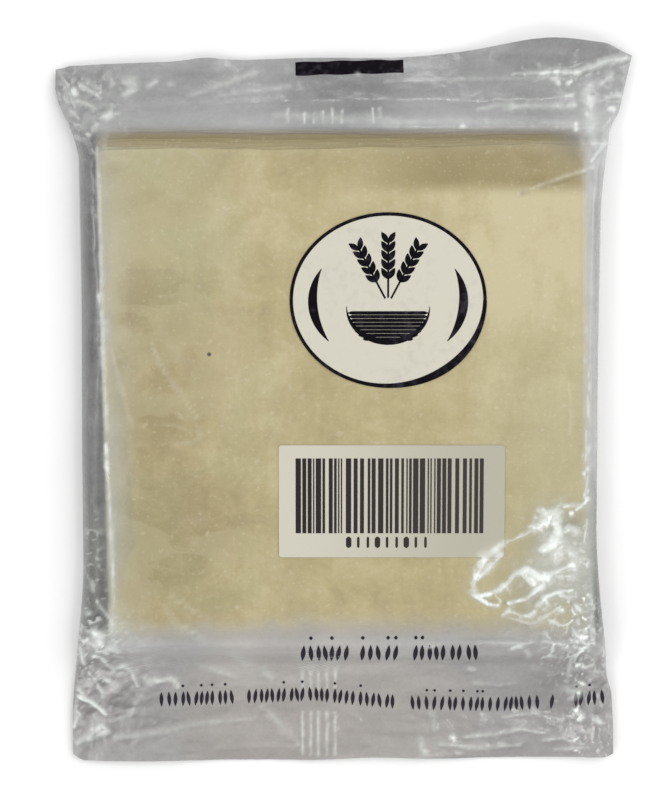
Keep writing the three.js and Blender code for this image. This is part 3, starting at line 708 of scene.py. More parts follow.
def veil_of(x, y, loose, wall):
    """How much is lost of what lies below: little on the sheets, most of it beside them."""
    beyond = beyond_sheets(x, y)
    flakes = np.clip(0.35 + 0.9 * facets(x, y, 3.5, 3, math.pi / 2, seed=33), 0, 1)
    left_rim = np.where(x < 0, bell(beyond, -1.5, 3.2), 0) * (1 - rise(82, 86, y))
    hazy = 0.36 * left_rim * flakes + 0.05 * (1 - rise(-76, -62, x + 2 * facets(x, y, 5, seed=34)))
    slack_end = np.interp(y, *SLACK_END) + 0.8 * facets(x, y, 4, seed=36)
    hazy += 0.13 * rise(-0.5, 0.5, slack_end - x) + spots(x, y, HAZY_SPOTS)
    hazy += 0.40 * rise(73, 77, x) * rise(34, 48, -y)
    hung = 0.77 + 0.10 * bell(y, -78.5, 4.5) + 0.10 * bell(y, 93, 3)
    hung += np.where(x > 0, 0.14 * bell(beyond, 0.5, 1.5) - 0.08 * wall, -0.42 * wall)
    return np.clip(0.05 + hung * loose + hazy * (1 - loose), 0, 1)

# %% Whiteness of every point, with painted sparkles and painted crease shadows
SPARKLE_SPOTS = [
    (71, -79, 7, 0.8), (78, -68, 7, 0.8), (79, -89, 7, 0.5),
    (82, -105, 11, 0.35), (-83, -82, 14, 0.6), (-84, 98, 12, 0.4),
]


def flecks(x, y, cell, gain, seed):
    """Small white flecks, painted sparkles: only the highest tips of a facet sheet."""
    return np.clip(facets(x, y, cell, seed=seed) - 0.30, 0, 0.4) * gain


loose = looseness(x, y)
upright = normals_of(*plain)
wall = (1 - upright[..., 2] ** 2) * (1 - descent(y))
lean = (normals_of(fx, fy, fz) - upright) @ LIGHT_FROM
# Painted sparkles in the crushed corners and along the side strips, and painted sparkle dots at the
# lower right.
sparkle_places = spots(x, y, SPARKLE_SPOTS) + bell(x, 79.3, 1.3) * rise(-60, 40, -y)
sparkle_places += 0.35 * bell(x, -82.5, 3) * rise(20, 50, -y)
painted_sparkles = flecks(x, y, 1.3, 2.5, 51) * sparkle_places
sparkle_dots = flecks(x, y, 0.9, 1.5, 52) * spots(x, y, [(81, -79, 12, 1.0)])
crease_glints_and_whitening = np.clip(np.maximum.reduce([crease_glints_and_whitening, painted_sparkles, sparkle_dots]), 0, 1)
# Painted shadows beside creases darken the grey and thicken the veil.
grey = grey_of(x, y, loose, lean) * (1 - 0.5 * painted_crease_shadow)
veil = np.maximum(veil_of(x, y, loose, wall), 0.5 * painted_crease_shadow)
print("grey", grey.min().round(2), grey.max().round(2))

# %% [markdown]
# ### From grid to object
# A grid of points becomes a mesh, moved so that it rests on the table in the frame. What the
# material has to know about each point is stored under a name.

# %% Mesh builder
def mesh_object(name, points, faces, smooth=True):
    mesh = bpy.data.meshes.new(name)
    mesh.from_pydata((np.asarray(points) * MM).tolist(), [], faces)
    mesh.polygons.foreach_set("use_smooth", [smooth] * len(mesh.polygons))
    mesh.update()
    piece = bpy.data.objects.new(name, mesh)
    bpy.context.collection.objects.link(piece)
    return piece


def grid_faces(rows, columns, flip=False):
    i = np.arange(rows - 1)[:, None] * columns + np.arange(columns - 1)[None, :]
    quads = np.stack([i, i + 1, i + 1 + columns, i + columns], -1).reshape(-1, 4)
    return (quads[:, ::-1] if flip else quads).tolist()


def settle(points):
    """Moves points of the form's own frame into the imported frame."""
    moved = np.asarray(points, float).copy()
    moved[:, :2] += centring
    return moved


def store(piece, **fields):
    """Keeps one number of each field for every point, for the material to read."""
    for name, values in fields.items():
        attribute = piece.data.attributes.new(name, "FLOAT", "POINT")
        attribute.data.foreach_set("value", np.asarray(values, np.float32).ravel())


def film_object(name, x, y, z, flip=False, **fields):
    """A sheet of film from a grid of points, with its grey, veil and whiteness."""
    points = settle(np.stack([x, y, z], -1).reshape(-1, 3))
    piece = mesh_object(name, points, grid_faces(*x.shape, flip=flip))
    store(piece, **fields)
    print(name, "has", 2 * (x.shape[0] - 1) * (x.shape[1] - 1), "triangles")
    return piece


film_front = film_object("film_front", fx, fy, fz, grey=grey, veil=veil, white=crease_glints_and_whitening)

# %% [markdown]
# ## Back film
# The back lies on the table, so only its ends are seen, through the front film, and its underside
# when the pack is turned over. At both welds it follows the front film a hair's breadth below it.

# %% Back film
BACK_FLOOR, WELD_BLEND = 0.3, 6
across_back = graded((0.035, 0.0035), (0.12, 0.007), (0.965, 0.009), (1, 0.0035))
along_back = graded((0.20, 0.0045), (0.80, 0.012), (1, 0.0045))
x, y, inset, level = film_plan(across_back, along_back)
relief = folds_at(x, y)[0] + crinkle(x, y, inset)
top_weld = rise(TOP_SEAL_START - WELD_BLEND, TOP_SEAL_START, y)
welded = np.maximum(top_weld, rise(BOTTOM_SEAL_START - WELD_BLEND, BOTTOM_SEAL_START, -y))
slack = 0.5 * ascent(y) * (1 - welded) * facets(x, y, 6, stretch=3, seed=21)
front, back = base_front(x, y), base_back(x, y)
bx, by, bz = film_surface(x, y, inset, level, (back, front), back, welded * relief + slack)
bz = np.maximum(bz, BACK_FLOOR)
flat = normals_of(bx, by, bz)[..., 2] ** 2
beside = rise(-2, 1, beyond_sheets(x, y)) * (1 - ascent(y))
# Painted light: beside the stack the back film is paler on the right, like the front film's side
# grey, and a little darker on the left.
grey = GREY + beside * np.where(x > 0, 0.27 * rise(-34, -14, y), -0.03)
veil = 0.40 + 0.25 * ascent(y) + 0.50 * beside * rise(0.5, 0.9, flat)
white = np.zeros_like(x)
film_back = film_object("film_back", bx, by, bz, flip=True, grey=grey, veil=veil, white=white)

# %% [markdown]
# ## Fin weld
# The two edges of the film meet in the middle of the back. They are pressed together between
# knurled wheels, which leaves straight ribs along the weld, and the fin is folded flat. The strip
# follows the back film, so it also climbs into the end welds, where its ribs show as bright lines.

# %% Fin weld
FIN_LEFT, FIN_RIGHT, FIN_END_GAP = -13.5, -2.1, 1.2
FIN_RIBS, FIN_RIB_HEIGHT, FIN_DROP, FIN_FLOOR = 4, 0.22, 0.30, 0.06


def fin_strip():
    u, v = np.meshgrid(np.linspace(0, 1, 61), graded((0.2, 0.006), (0.8, 0.02), (1, 0.006)))
    x = lerp(FIN_LEFT, FIN_RIGHT, u)
    y = lerp(bottom_edge(x) + FIN_END_GAP, top_edge(x) - FIN_END_GAP, v)
    rib = 0.5 - 0.5 * np.cos(2 * math.pi * FIN_RIBS * u)
    return x, y, np.maximum(base_back(x, y) - FIN_DROP + FIN_RIB_HEIGHT * rib, FIN_FLOOR), rib


x, y, z, rib = fin_strip()
grey, veil = np.full_like(x, 0.40), np.full_like(x, 0.7)
fin_weld = film_object("fin_weld", x, y, z, flip=True, grey=grey, veil=veil, white=0.4 * rib)

# %% [markdown]
# ## Rice paper sheets
# Each sheet is cut square with soft corners, is a little wavy from drying, and lies a little off
# its neighbours. The lower sheets have slipped towards the top end. Every sheet is its own thin
# closed slab, built from rings that follow its rounded outline, and all are joined in one piece.

# %% Outline of a sheet
SHEETS, SHEET_CORNER, SHEET_SHARE = 40, 3.2, 0.72
STACK_FLOOR, STACK_CEILING, FILM_GAP = 0.62, 12.18, 0.2
SLIP = 7.6
RINGS = [0.0, 0.15, 1.6, 4.0, 8, 20, 40, 60]


def sheet_outline(shrink, corner_points=6, side_points=26):
    """Closed outline of one sheet, pulled in by `shrink` mm: arcs joined by points on the sides."""
    half = np.array([SHEET_WIDTH, SHEET_LENGTH]) / 2 - shrink
    radius = max(SHEET_CORNER - shrink * 0.3, 0.8)
    arcs = []
    for k, signs in enumerate([(1, 1), (-1, 1), (-1, -1), (1, -1)]):
        angles = math.pi / 2 * (k + np.linspace(0, 1, corner_points))
        middle = (half - radius) * signs
        arcs.append(middle + radius * np.stack([np.cos(angles), np.sin(angles)], 1))
    outline = []
    for arc_points, following in zip(arcs, arcs[1:] + arcs[:1]):
        t = np.linspace(0, 1, side_points + 2)[1:-1, None]
        outline += [arc_points, lerp(arc_points[-1], following[0], t)]
    return np.concatenate(outline)


def film_over(x, y):
    """Height in mm of the smooth front film over the points x, y."""
    inset = np.minimum(x - left_edge(y), right_edge(y) - x)
    front = base_front(x, y)
    edge = lerp(base_back(x, y), front, SIDE_EDGE_LEVEL)
    return lerp(edge, front, side_rounding(inset, x, y))

# %% Sheets
def sheet_points(k, rng):
    """Points of sheet k, counted from below: rings of both faces, then the middle of each face."""
    pitch = (STACK_CEILING - STACK_FLOOR) / SHEETS
    slip = SLIP * rise(0.02, 0.6, 1 - (k + 0.5) / SHEETS)
    move = np.array(STACK_MIDDLE) + [rng.normal(0, 0.35), slip + rng.normal(0, 0.3)]
    turn = STACK_TURN + rng.normal(0, math.radians(0.18))
    phase, swell = rng.uniform(0, 6.28, 2), 0.07
    level = STACK_FLOOR + (k + 0.5) * pitch
    c, s = math.cos(turn), math.sin(turn)
    rings = []
    for side in (1, -1):
        for shrink in RINGS:
            ring = sheet_outline(shrink)
            x = c * ring[:, 0] - s * ring[:, 1] + move[0]
            y = s * ring[:, 0] + c * ring[:, 1] + move[1]
            y = y + 1.2 * rise(5, 75, -x) * rise(0, 80, y)
            wander = 0.22 * np.sin(x / 8 + phase[0]) + 0.14 * np.sin(x / 2.9 + phase[1])
            y = y + rise(60, 80, y - slip) * (wander - 0.9 * slip / SLIP * bell(x, 18, 28))
            x = x - 0.8 * rise(30, 75, -x) * rise(20, 60, -y)
            wave = np.sin(x / 7 + phase[0]) + np.sin(y / 9 + phase[1])
            wave = swell * math.exp(-shrink / 6) * wave
            thickness = SHEET_SHARE * pitch * (0.4 if shrink == 0 else 1.0)
            high = level + wave + side * thickness / 2
            room = (film_over(x, y) - FILM_GAP - STACK_FLOOR) / (STACK_CEILING - STACK_FLOOR)
            z = lerp(STACK_FLOOR, high, np.clip(room, 0, 1))
            rings.append(np.stack([x, y, z], -1))
    middles = [rings[i].mean(axis=0) for i in (len(RINGS) - 1, -1)]
    return np.concatenate(rings + [middles])


def sheet_faces(first, n):
    """Faces of one sheet whose rings of n points start at `first`."""
    faces, ahead, under = [], [*range(1, n), 0], len(RINGS) * n
    for top, face_start, middle in ((True, 0, 2 * under), (False, under, 2 * under + 1)):
        for a in range(first + face_start, first + face_start + under - n, n):
            strip = [[a + i, a + j, a + n + j, a + n + i] for i, j in enumerate(ahead)]
            faces += strip if top else [quad[::-1] for quad in strip]
        a = first + face_start + under - n
        fan = [[a + i, a + j, first + middle] for i, j in enumerate(ahead)]
        faces += fan if top else [tip[::-1] for tip in fan]
    a, b = first, first + under
    return faces + [[a + j, a + i, b + i, b + j] for i, j in enumerate(ahead)]


rng = np.random.default_rng(12)
sheets = [sheet_points(k, rng) for k in range(SHEETS)]
ring_size = len(sheet_outline(0))
faces = [face for k in range(SHEETS) for face in sheet_faces(k * len(sheets[0]), ring_size)]
rim = [math.exp(-shrink / 1.5) for shrink in RINGS * 2 for _ in range(ring_size)] + [0.0, 0.0]
rice_sheets = mesh_object("rice_sheets", settle(np.concatenate(sheets)), faces, smooth=False)
store(rice_sheets, rim=rim * SHEETS)
print("sheets:", SHEETS, "with", sum(len(face) - 2 for face in faces), "triangles")

# %% [markdown]
# ## Print
# The print is one thin coat of ink on the film, and takes every fold with it. Each mark is a
# stroke: a line with a width along it. A bar, a dot, a grain, a ring and a panel are all strokes.
# Points of a stroke are dropped onto the film from above to find their height.

# %% Strokes of ink on the film
WHITE_LIFT, DARK_LIFT = 0.05, 0.10
film_tree = BVHTree.FromObject(film_front, bpy.context.evaluated_depsgraph_get())


def film_height(x, y):
    """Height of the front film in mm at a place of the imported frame."""
    hit = film_tree.ray_cast(Vector((x * MM, y * MM, 0.05)), Vector((0, 0, -1)))[0]
    if hit is None:
        raise ValueError(f"ink beyond the film at {x:.1f}, {y:.1f}")
    return hit.z / MM


class Print:
    """Collects strokes of one ink and turns them into one piece."""

    def __init__(self, name, lift):
        self.name, self.lift = name, lift
        self.points, self.faces = [], []

    def stroke(self, path, half_width, steps=8, ribs=2):
        """path(t) gives a point in mm for t from 0 to 1, half_width(t) the stroke's half width."""
        first = len(self.points)
        ts = np.linspace(0, 1, steps + 1)
        middle = np.array([path(t) for t in ts])
        ahead = np.gradient(middle, axis=0)
        side = np.stack([-ahead[:, 1], ahead[:, 0]], 1)
        side = side / np.linalg.norm(ahead, axis=1, keepdims=True)
        for k, t in enumerate(ts):
            for r in np.linspace(-1, 1, ribs + 1):
                x, y = middle[k] + side[k] * r * half_width(t)
                z = film_height(x + centring[0], y + centring[1])
                self.points.append((x, y, z + self.lift))
        self.faces += (np.array(grid_faces(steps + 1, ribs + 1, flip=True)) + first).tolist()

    def line(self, start, end, half_width, **counts):
        self.stroke(lambda t: lerp(np.array(start), np.array(end), t), half_width, **counts)

    def arc(self, middle, radii, start, end, half_width, **counts):
        """Part of an ellipse between two angles in degrees."""

        def path(t):
            angle = math.radians(lerp(start, end, t))
            return middle[0] + radii[0] * math.cos(angle), middle[1] + radii[1] * math.sin(angle)

        self.stroke(path, half_width, **counts)

    def piece(self):
        made = mesh_object(self.name, settle(self.points), self.faces)
        x, y = np.array(self.points)[:, :2].T
        # The ink keeps the painted highlights of the folds under it, except those of the fin ribs.
        store(made, white=folds_at(x, y, left_out=("fin ribs", "fin ribs at the top"))[1])
        print(self.name, "has", len(self.faces), "faces")
        return made


def even(half):
    return lambda t: half


def pill(half, length):
    """Half width of a bar with round ends."""
    return lambda t: half * math.sqrt(max(0.02, 1 - max(0, 1 - min(t, 1 - t) * length / half) ** 2))


def grain(half):
    """Half width of a mark that is pointed at both ends."""
    return lambda t: half * max(0.06, math.sin(math.pi * t)) ** 0.8


dark, white = Print("dark_print", DARK_LIFT), Print("white_print", WHITE_LIFT)

# %% [markdown]
# ### Code panel and registration mark
# An off-white panel carries a field of upright bars with a row of small blocks under it. The bars'
# widths are drawn at random, so they say nothing. The dark mark at the top edge is what the
# wrapping machine's eye looks for.

# %% Code panel and mark
PANEL_LEFT, PANEL_RIGHT, PANEL_TOP, PANEL_BOTTOM, PANEL_CORNER = -21.1, 52.9, -12.3, -49.3, 0.8
BARS_LEFT, BARS_RIGHT, BARS_TOP, BARS_BOTTOM = -15.6, 47.6, -16.6, -41.3
BAR_WIDTHS, BAR_CHANCES = [0.45, 0.85, 1.3, 1.75], [0.3, 0.3, 0.25, 0.15]
GAP_WIDTHS, GAP_CHANCES = [0.45, 0.8, 1.2], [0.5, 0.3, 0.2]
BLOCKS, BLOCK_LEFT, BLOCK_PITCH, BLOCK_TOP, BLOCK_BOTTOM = 9, 1.8, 3.15, -42.4, -46.2
MARK_START, MARK_END, MARK_HALF = (-15.6, 110.1), (19.6, 111.0), 2.15


def panel():
    middle, half = (PANEL_TOP + PANEL_BOTTOM) / 2, (PANEL_TOP - PANEL_BOTTOM) / 2
    length = PANEL_RIGHT - PANEL_LEFT

    def half_width(t):
        short = max(0, PANEL_CORNER - min(t, 1 - t) * length)
        return half - PANEL_CORNER + math.sqrt(max(0, PANEL_CORNER**2 - short**2))

    white.line((PANEL_LEFT, middle), (PANEL_RIGHT, middle), half_width, steps=150, ribs=74)


def bars():
    rng = np.random.default_rng(31)
    x, count = BARS_LEFT, 0
    while x < BARS_RIGHT - 1.2:
        width, gap = rng.choice(BAR_WIDTHS, p=BAR_CHANCES), rng.choice(GAP_WIDTHS, p=GAP_CHANCES)
        middle = x + width / 2
        dark.line((middle, BARS_TOP), (middle, BARS_BOTTOM), even(width / 2), steps=26)
        x += width + gap
        count += 1
    return count


def blocks():
    for k in range(BLOCKS):
        x, half = BLOCK_LEFT + BLOCK_PITCH * k, 0.42 if k % 3 else 0.90
        dark.line((x, BLOCK_TOP), (x, BLOCK_BOTTOM), pill(half, BLOCK_TOP - BLOCK_BOTTOM))


panel()
print("bars:", bars())
blocks()
dark.line(MARK_START, MARK_END, lambda t: MARK_HALF + 0.12 * math.sin(19 * t), steps=90, ribs=14)

# %% [markdown]
# ### Badge
# A pale round field in a dark ring, with a bowl, three ears of rice above it and a pair of leaves.
# It is a plain picture of the food, in the colours and at the size of a pack's usual badge.

# %% Badge
BADGE = np.array([14.5, 35.0])
BADGE_RADII = np.array([31.6, 28.0])
RING_HALF, RING_SWELL = 0.55, (0.75, 0.86, 0.09)
BOWL_RADII, BOWL_LINES = (13.5, 11.5), np.linspace(0.9, 9.4, 8)
LEAF_RADII, LEAF_START, LEAF_END = (24.5, 21.5), 62, 128
STEM_START, STEM_END = 2, 20
GRAINS, GRAIN_START, GRAIN_PITCH, GRAIN_LENGTH, GRAIN_LEAN = 5, 8, 2.9, 4.2, 0.55


def badge_field():
    cx, cy = BADGE
    white.stroke(
        lambda t: (cx - BADGE_RADII[0] * math.cos(math.pi * t), cy),
        lambda t: BADGE_RADII[1] * max(0.02, math.sin(math.pi * t)),
        steps=80,
        ribs=56,
    )


def bowl(x, y):
    dark.arc((x, y + 1.2), BOWL_RADII, 180, 360, grain(1.0), steps=40)
    for depth in BOWL_LINES:
        half = 13.2 * math.sqrt(1 - (depth / 12) ** 2)
        level = y - depth
        dark.line((x - half, level), (x + half, level), pill(0.56, 2 * half), steps=20)


def ear_of_rice(x, y, lean):
    upright = math.radians(90 - lean)
    foot, stem = np.array([x, y]), np.array([math.cos(upright), math.sin(upright)])
    dark.line(foot + stem * STEM_START, foot + stem * STEM_END, even(0.32), steps=14)
    for k in range(GRAINS):
        base = foot + stem * (GRAIN_START + GRAIN_PITCH * k)
        for sign in (-1, 1):
            a = upright + sign * GRAIN_LEAN
            tip = base + GRAIN_LENGTH * np.array([math.cos(a), math.sin(a)])
            dark.line(base, tip, grain(0.95))


def badge_marks():
    cx, cy = BADGE
    ring = BADGE_RADII - 0.2
    dark.arc(BADGE, ring, 0, 360, lambda t: RING_HALF + hump(*RING_SWELL, t), steps=150)
    bowl(cx, cy - 3.2)
    for lean in (-28, 0, 28):
        ear_of_rice(cx, cy - 1.2, lean)
    for sign in (-1, 1):
        start, end = 90 + sign * LEAF_START, 90 + sign * LEAF_END
        dark.arc(BADGE, LEAF_RADII, start, end, grain(1.5), steps=30)


badge_field()
badge_marks()

# %% [markdown]
# ### Rows of grains
# Two rows of small upright grains in groups, a plain border ornament, run across the lower margin.
# The lower row climbs and falls with the slack film.

# %% Rows of grains
DOT_CHANCE, GRAIN_SPACING = 0.25, [2.8, 3.3, 4.1]
UPPER_ROW = [(-13.2, 3), (6.5, 20), (24, 44.6)]
LOWER_ROW = [(-61, -36), (-31.5, 18), (23.5, 66), (70.5, 72.6), (78.5, 88.6)]
SLACK_LINE = [-61, -10, 20, 50, 72, 90], [-101.8, -99.8, -102.9, -103.6, -102.6, -100.6]


def row_of_grains(groups, base, height, half, seed):
    """Groups of upright grains, some with a dot above, on a base line that may wave."""
    rng = np.random.default_rng(seed)
    for x, end in groups:
        while x <= end:
            foot, lean = base(x), rng.uniform(-0.16, 0.16) * height
            ends = (x - lean / 2, foot), (x + lean / 2, foot + height)
            dark.line(*ends, grain(half), steps=14, ribs=4)
            if rng.random() < DOT_CHANCE:
                reach, dot = 0.8 * half, foot + height * 1.4
                dark.line((x - reach, dot), (x + reach, dot), grain(reach), steps=6)
            x += half * rng.choice(GRAIN_SPACING)


row_of_grains(UPPER_ROW, lambda x: -85 + 0.006 * x, 6.3, 0.78, 5)
row_of_grains(LOWER_ROW, lambda x: np.interp(x, *SLACK_LINE), 5.2, 0.64, 6)
dark_print, white_print = dark.piece(), white.piece()

# %% [markdown]
# ## Shader expressions
# A material is a small program. This class wraps one output socket so that sums and products of
# sockets are written as in Python, and each operation adds its Math node. Every other node comes
# from `add`, which takes the node's type, its settings and what goes into its sockets.

# %% Wire class
class Wire:
    def __init__(self, tree, socket=None):
        self.tree, self.socket = tree, socket

    def add(self, kind, settings=None, sockets=None, out=0):
        node = self.tree.nodes.new("ShaderNode" + kind)
        for name, value in (settings or {}).items():
            if name == "stops":
                ramp = node.color_ramp
                while len(ramp.elements) < len(value):
                    ramp.elements.new(0.5)
                for element, (position, colour) in zip(ramp.elements, value):
                    element.position, element.color = position, (*colour, 1)
            else:
                setattr(node, name, value)
        for name, value in (sockets or {}).items():
            if isinstance(value, Wire):
                self.tree.links.new(value.socket, node.inputs[name])
            else:
                node.inputs[name].default_value = value
        return Wire(self.tree, node.outputs[out])

    def math(self, operation, *values, clamp=False):
        settings = {"operation": operation, "use_clamp": clamp}
        return self.add("Math", settings, dict(enumerate(values)))

    def __add__(self, other):
        return self.math("ADD", self, other)

    def __sub__(self, other):
        return self.math("SUBTRACT", self, other)

    def __rsub__(self, other):
        return self.math("SUBTRACT", other, self)

    def __mul__(self, other):
        return self.math("MULTIPLY", self, other)

    def __truediv__(self, other):
        return self.math("DIVIDE", self, other)

    __radd__ = __add__
    __rmul__ = __mul__

    def clamp(self):
        return self.math("ADD", self, 0.0, clamp=True)

    def size(self):
        return self.math("ABSOLUTE", self)

    def between(self, low, high):
        """0 below low, 1 above high, smooth between."""
        smooth = {"interpolation_type": "SMOOTHSTEP"}
        return self.add("MapRange", smooth, {0: self, 1: low, 2: high})

    def band(self, low, high, end_low, end_high):
        """1 from high to end_low, 0 outside low and end_high."""
        return self.between(low, high) * (1 - self.between(end_low, end_high))

    def blend(self, *colours):
        """The first colour where this is 0, the second where it is 1."""
        a, b = (c if isinstance(c, Wire) else (*c, 1) for c in colours)
        return self.add("Mix", {"data_type": "RGBA"}, {0: self, 6: a, 7: b}, out=2)

    def field(self, name):
        """The number of this name that is kept for every point of the mesh."""
        return self.add("Attribute", {"attribute_name": name}, out=2)

    def place(self, axis):
        """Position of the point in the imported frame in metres: axis 0, 1 or 2."""
        spot = self.add("TexCoord", out=3)
        return spot.add("SeparateXYZ", None, {0: spot}, out=axis)

    def away(self, x, y, z):
        """Distance in metres of this position from a place given in mm."""
        there = (x * MM, y * MM, z * MM)
        return self.add("VectorMath", {"operation": "DISTANCE"}, {0: self, 1: there}, out=1)

    def noise(self, scale, detail=2.0, roughness=0.5, stretch=(1, 1, 1), warp=0.0):
        """Noise over the object's own space, with features 1/scale metres wide."""
        place = self.add("TexCoord", out=3)
        placed = place.add("Mapping", None, {0: place, 3: stretch})
        sockets = {"Vector": placed, "Scale": scale, "Detail": detail}
        return placed.add("TexNoise", None, {**sockets, "Roughness": roughness, "Distortion": warp})

    def bump(self, strength, distance):
        return self.add("Bump", None, {"Strength": strength, "Distance": distance, "Height": self})


def material(name):
    """A new material and a wire that starts its expressions."""
    made = bpy.data.materials.new(name)
    made.use_nodes = True
    made.node_tree.nodes.clear()
    return made, Wire(made.node_tree)


def close(made, wire, colour, roughness, **others):
    """Ends a material with its shader, joined to the output."""
    sockets = {name.replace("_", " "): value for name, value in others.items()}
    sockets = {"Base Color": colour, "Roughness": roughness, **sockets}
    shader = wire.add("BsdfPrincipled", None, sockets)
    output = made.node_tree.nodes.new("ShaderNodeOutputMaterial")
    made.node_tree.links.new(shader.socket, output.inputs["Surface"])
    return made

# %% [markdown]
# ## Film finish
# The film is clear, but one sees it by its shine and by a grey veil where it hangs free, because
# there light is lost between its two sides. Tight on the sheets the veil is almost gone. Creases
# turn whitish, as bent plastic does, and on top of that the crests carry painted highlights and the
# crushed corners painted sparkles. The grey itself is painted paler and darker in places, as light
# and shade. The veil is alpha, so the sheets and the far film show.

# %% Film material
CLEAR_TINT, WARM_TINT, MOSSY_TINT = (0.992, 0.997, 0.995), (1.0, 0.935, 0.875), (0.97, 1.0, 0.92)
# Colours of the painted highlights along creases: warm over the sheets, cold where the film hangs
# free.
WARM_CREASE_GLINT, COLD_CREASE_GLINT = (0.88, 0.83, 0.64), (0.86, 0.90, 0.85)


def film_tint(x, y):
    """Tint of the film by place: warm low on the pack, a little green at two corners and a rim."""
    warm = (1 - y.between(-0.10, -0.05)) * (0.3 + 0.7 * x.between(-0.070, -0.035))
    warm = warm * (1 - 0.6 * x.between(0.0, 0.07))
    low_corners = x.size().between(0.045, 0.060) * y.band(-0.078, -0.066, -0.040, -0.020)
    left_rim = x.band(-0.0795, -0.0780, -0.074, -0.066) * y.band(-0.078, -0.066, 0.082, 0.086)
    mossy = (low_corners + left_rim).clamp()
    return mossy.blend(warm.blend(CLEAR_TINT, WARM_TINT), MOSSY_TINT)


def finish_film(name):
    made, wire = material(name)
    grey, veil, white = (wire.field(kept) for kept in ("grey", "veil", "white"))
    streaks = wire.noise(150, detail=3, stretch=(0.28, 1, 1), warp=0.3)
    cloud = wire.noise(90, detail=3)
    fine = wire.noise(700, detail=3, roughness=0.6)
    sparkle_dots = wire.noise(1500, detail=1).between(0.70, 0.75)
    # pale carries the painted highlights and whitening of the folds, with painted sparkle dots
    # where the film hangs free.
    pale = (white * (0.55 + 0.9 * fine) + sparkle_dots * veil * 0.10).clamp()
    cover = 1 - (1 - veil) * (1 - pale)
    shade = 0.91 * grey + 0.15 * (streaks - 0.5) + 0.09 * (cloud - 0.5) + 0.09 * (fine - 0.5)
    x, y = wire.place(0), wire.place(1)
    tinted = shade.clamp().blend((0, 0, 0), film_tint(x, y))
    puddle = x.between(0.030, 0.040) * (1 - y.between(-0.030, -0.015))
    cold = (veil.between(0.12, 0.35) + puddle).clamp()
    colour = (pale / cover).blend(tinted, cold.blend(WARM_CREASE_GLINT, COLD_CREASE_GLINT))
    bump = (fine * 0.6 + streaks * 0.4).bump(0.3, 0.0004)
    shine = {"IOR": 1.5, "Specular_IOR_Level": 0.8}
    return close(made, wire, colour, 0.16 + 0.16 * cloud, Alpha=cover, Normal=bump, **shine)


film_finish = finish_film("clear_film")

# %% [markdown]
# ## Rice paper finish
# Dried rice paper is cream, a little greener and darker where sheets cling and paler where air is
# between them, with fine cloudy mottling, specks of starch and faint streaks from drying. The paper
# is also painted paler towards the right, as if lit from there, and the band of slipped lower
# sheets at the top end is painted darker, as the shade it lies in.

# %% Rice paper material
PAPER_SPOTS = [  # x, y, radius, amount
    (-36, 66, 34, 0.32), (-74, 66, 22, 0.24), (-60, 56, 16, 0.16), (-42, 48, 26, 0.15),
    (-25, 14, 24, 0.20), (-30, -10, 34, 0.20), (-42, -22, 24, 0.28), (66, 84, 16, 0.15),
    (-25, -57, 32, 0.30), (-59, 14, 26, -0.20), (-16, 84, 24, -0.28), (46, 84, 20, -0.20),
    (-42, -38, 24, -0.18), (-58, 84, 20, 0.42), (58, -12, 26, -0.12),
]
PAPER_SHADES = [
    (0.0, (0.317, 0.256, 0.113)),
    (0.28, (0.383, 0.316, 0.154)),
    (0.57, (0.456, 0.385, 0.192)),
    (0.84, (0.531, 0.463, 0.260)),
    (1.0, (0.585, 0.510, 0.305)),
]
SPECK, SPECK_COLOUR, STARCH_COLOUR = (-43.7, 18.2, 12.2), (0.07, 0.055, 0.04), (0.74, 0.71, 0.55)


def paper_tone(x, y, slack_side, clouds, patches, streaks, grain):
    """How pale the paper is: darkest on the left and where the film clings; paler towards the right
    and in a patch above the middle as painted light, as if lit from the right.
    """
    painted_light_patch = x.between(0.008, 0.055) * y.between(0.012, 0.050)
    tone = 0.17 + 0.34 * x.between(-0.075, 0.020) + 0.20 * x.between(0.020, 0.060)
    tone = tone + 0.17 * y.between(-0.05, 0.06) + 0.20 * painted_light_patch
    tone = tone - 0.16 * x.between(0.03, 0.07) * (1 - y.between(-0.035, 0.010))
    tone = tone + (0.5 * clouds + 0.9 * patches) * (1 + 0.6 * slack_side) + 0.3 * streaks
    tone = tone + (0.38 + 0.22 * slack_side) * grain
    cling = (1 - (y + 0.006 * patches).between(0.0452, 0.0464)) * y.between(0.012, 0.036)
    return tone - 0.30 * cling * x.band(-0.074, -0.069, -0.056, -0.040)


def paper_layers(wire, x, y, slack_side, clouds, patches):
    """Masks and colours that lie over each other on the cream, the lowest first."""
    left_top = (1 - x.between(-0.055, -0.02)) * y.between(0.02, 0.06)
    green = left_top + 0.9 * x.between(0.03, 0.07) * (1 - y.between(-0.01, 0.055))
    hue = wire.noise(40, detail=3, warp=0.8).between(0.42, 0.58)
    lifted = wire.noise(26, detail=5, roughness=0.58, warp=1.3)
    cool = (1 - x.between(-0.077, -0.063)) * (0.75 + 3.0 * patches)
    damp = x.between(-0.012, 0.034) * y.between(0.0685 - 0.004 * clouds, 0.0745 - 0.004 * clouds)
    rim = wire.field("rim") * (0.55 + 1.2 * (lifted - 0.4)) * (1 - 0.75 * y.between(0.075, 0.082))
    # Painted shade: the slipped lower sheets at the top end are darker, as the shade they lie in.
    lower = y.between(0.0875, 0.0915).blend((0.352, 0.290, 0.145), (0.46, 0.385, 0.26))
    return [
        (0.5 * green.clamp(), (0.428, 0.397, 0.241)),
        (0.22 * slack_side, hue.blend((0.385, 0.372, 0.205), (0.44, 0.350, 0.190))),
        (0.42 * lifted.between(0.505, 0.545) * slack_side, (0.470, 0.412, 0.240)),
        (0.8 * cool.clamp(), (0.475, 0.435, 0.295)),
        ((damp * (0.95 + 0.8 * patches)).clamp(), (0.300, 0.240, 0.102)),
        (rim.clamp(), (0.57, 0.529, 0.386)),
        (0.9 * y.between(0.0842, 0.0866), lower),
    ]


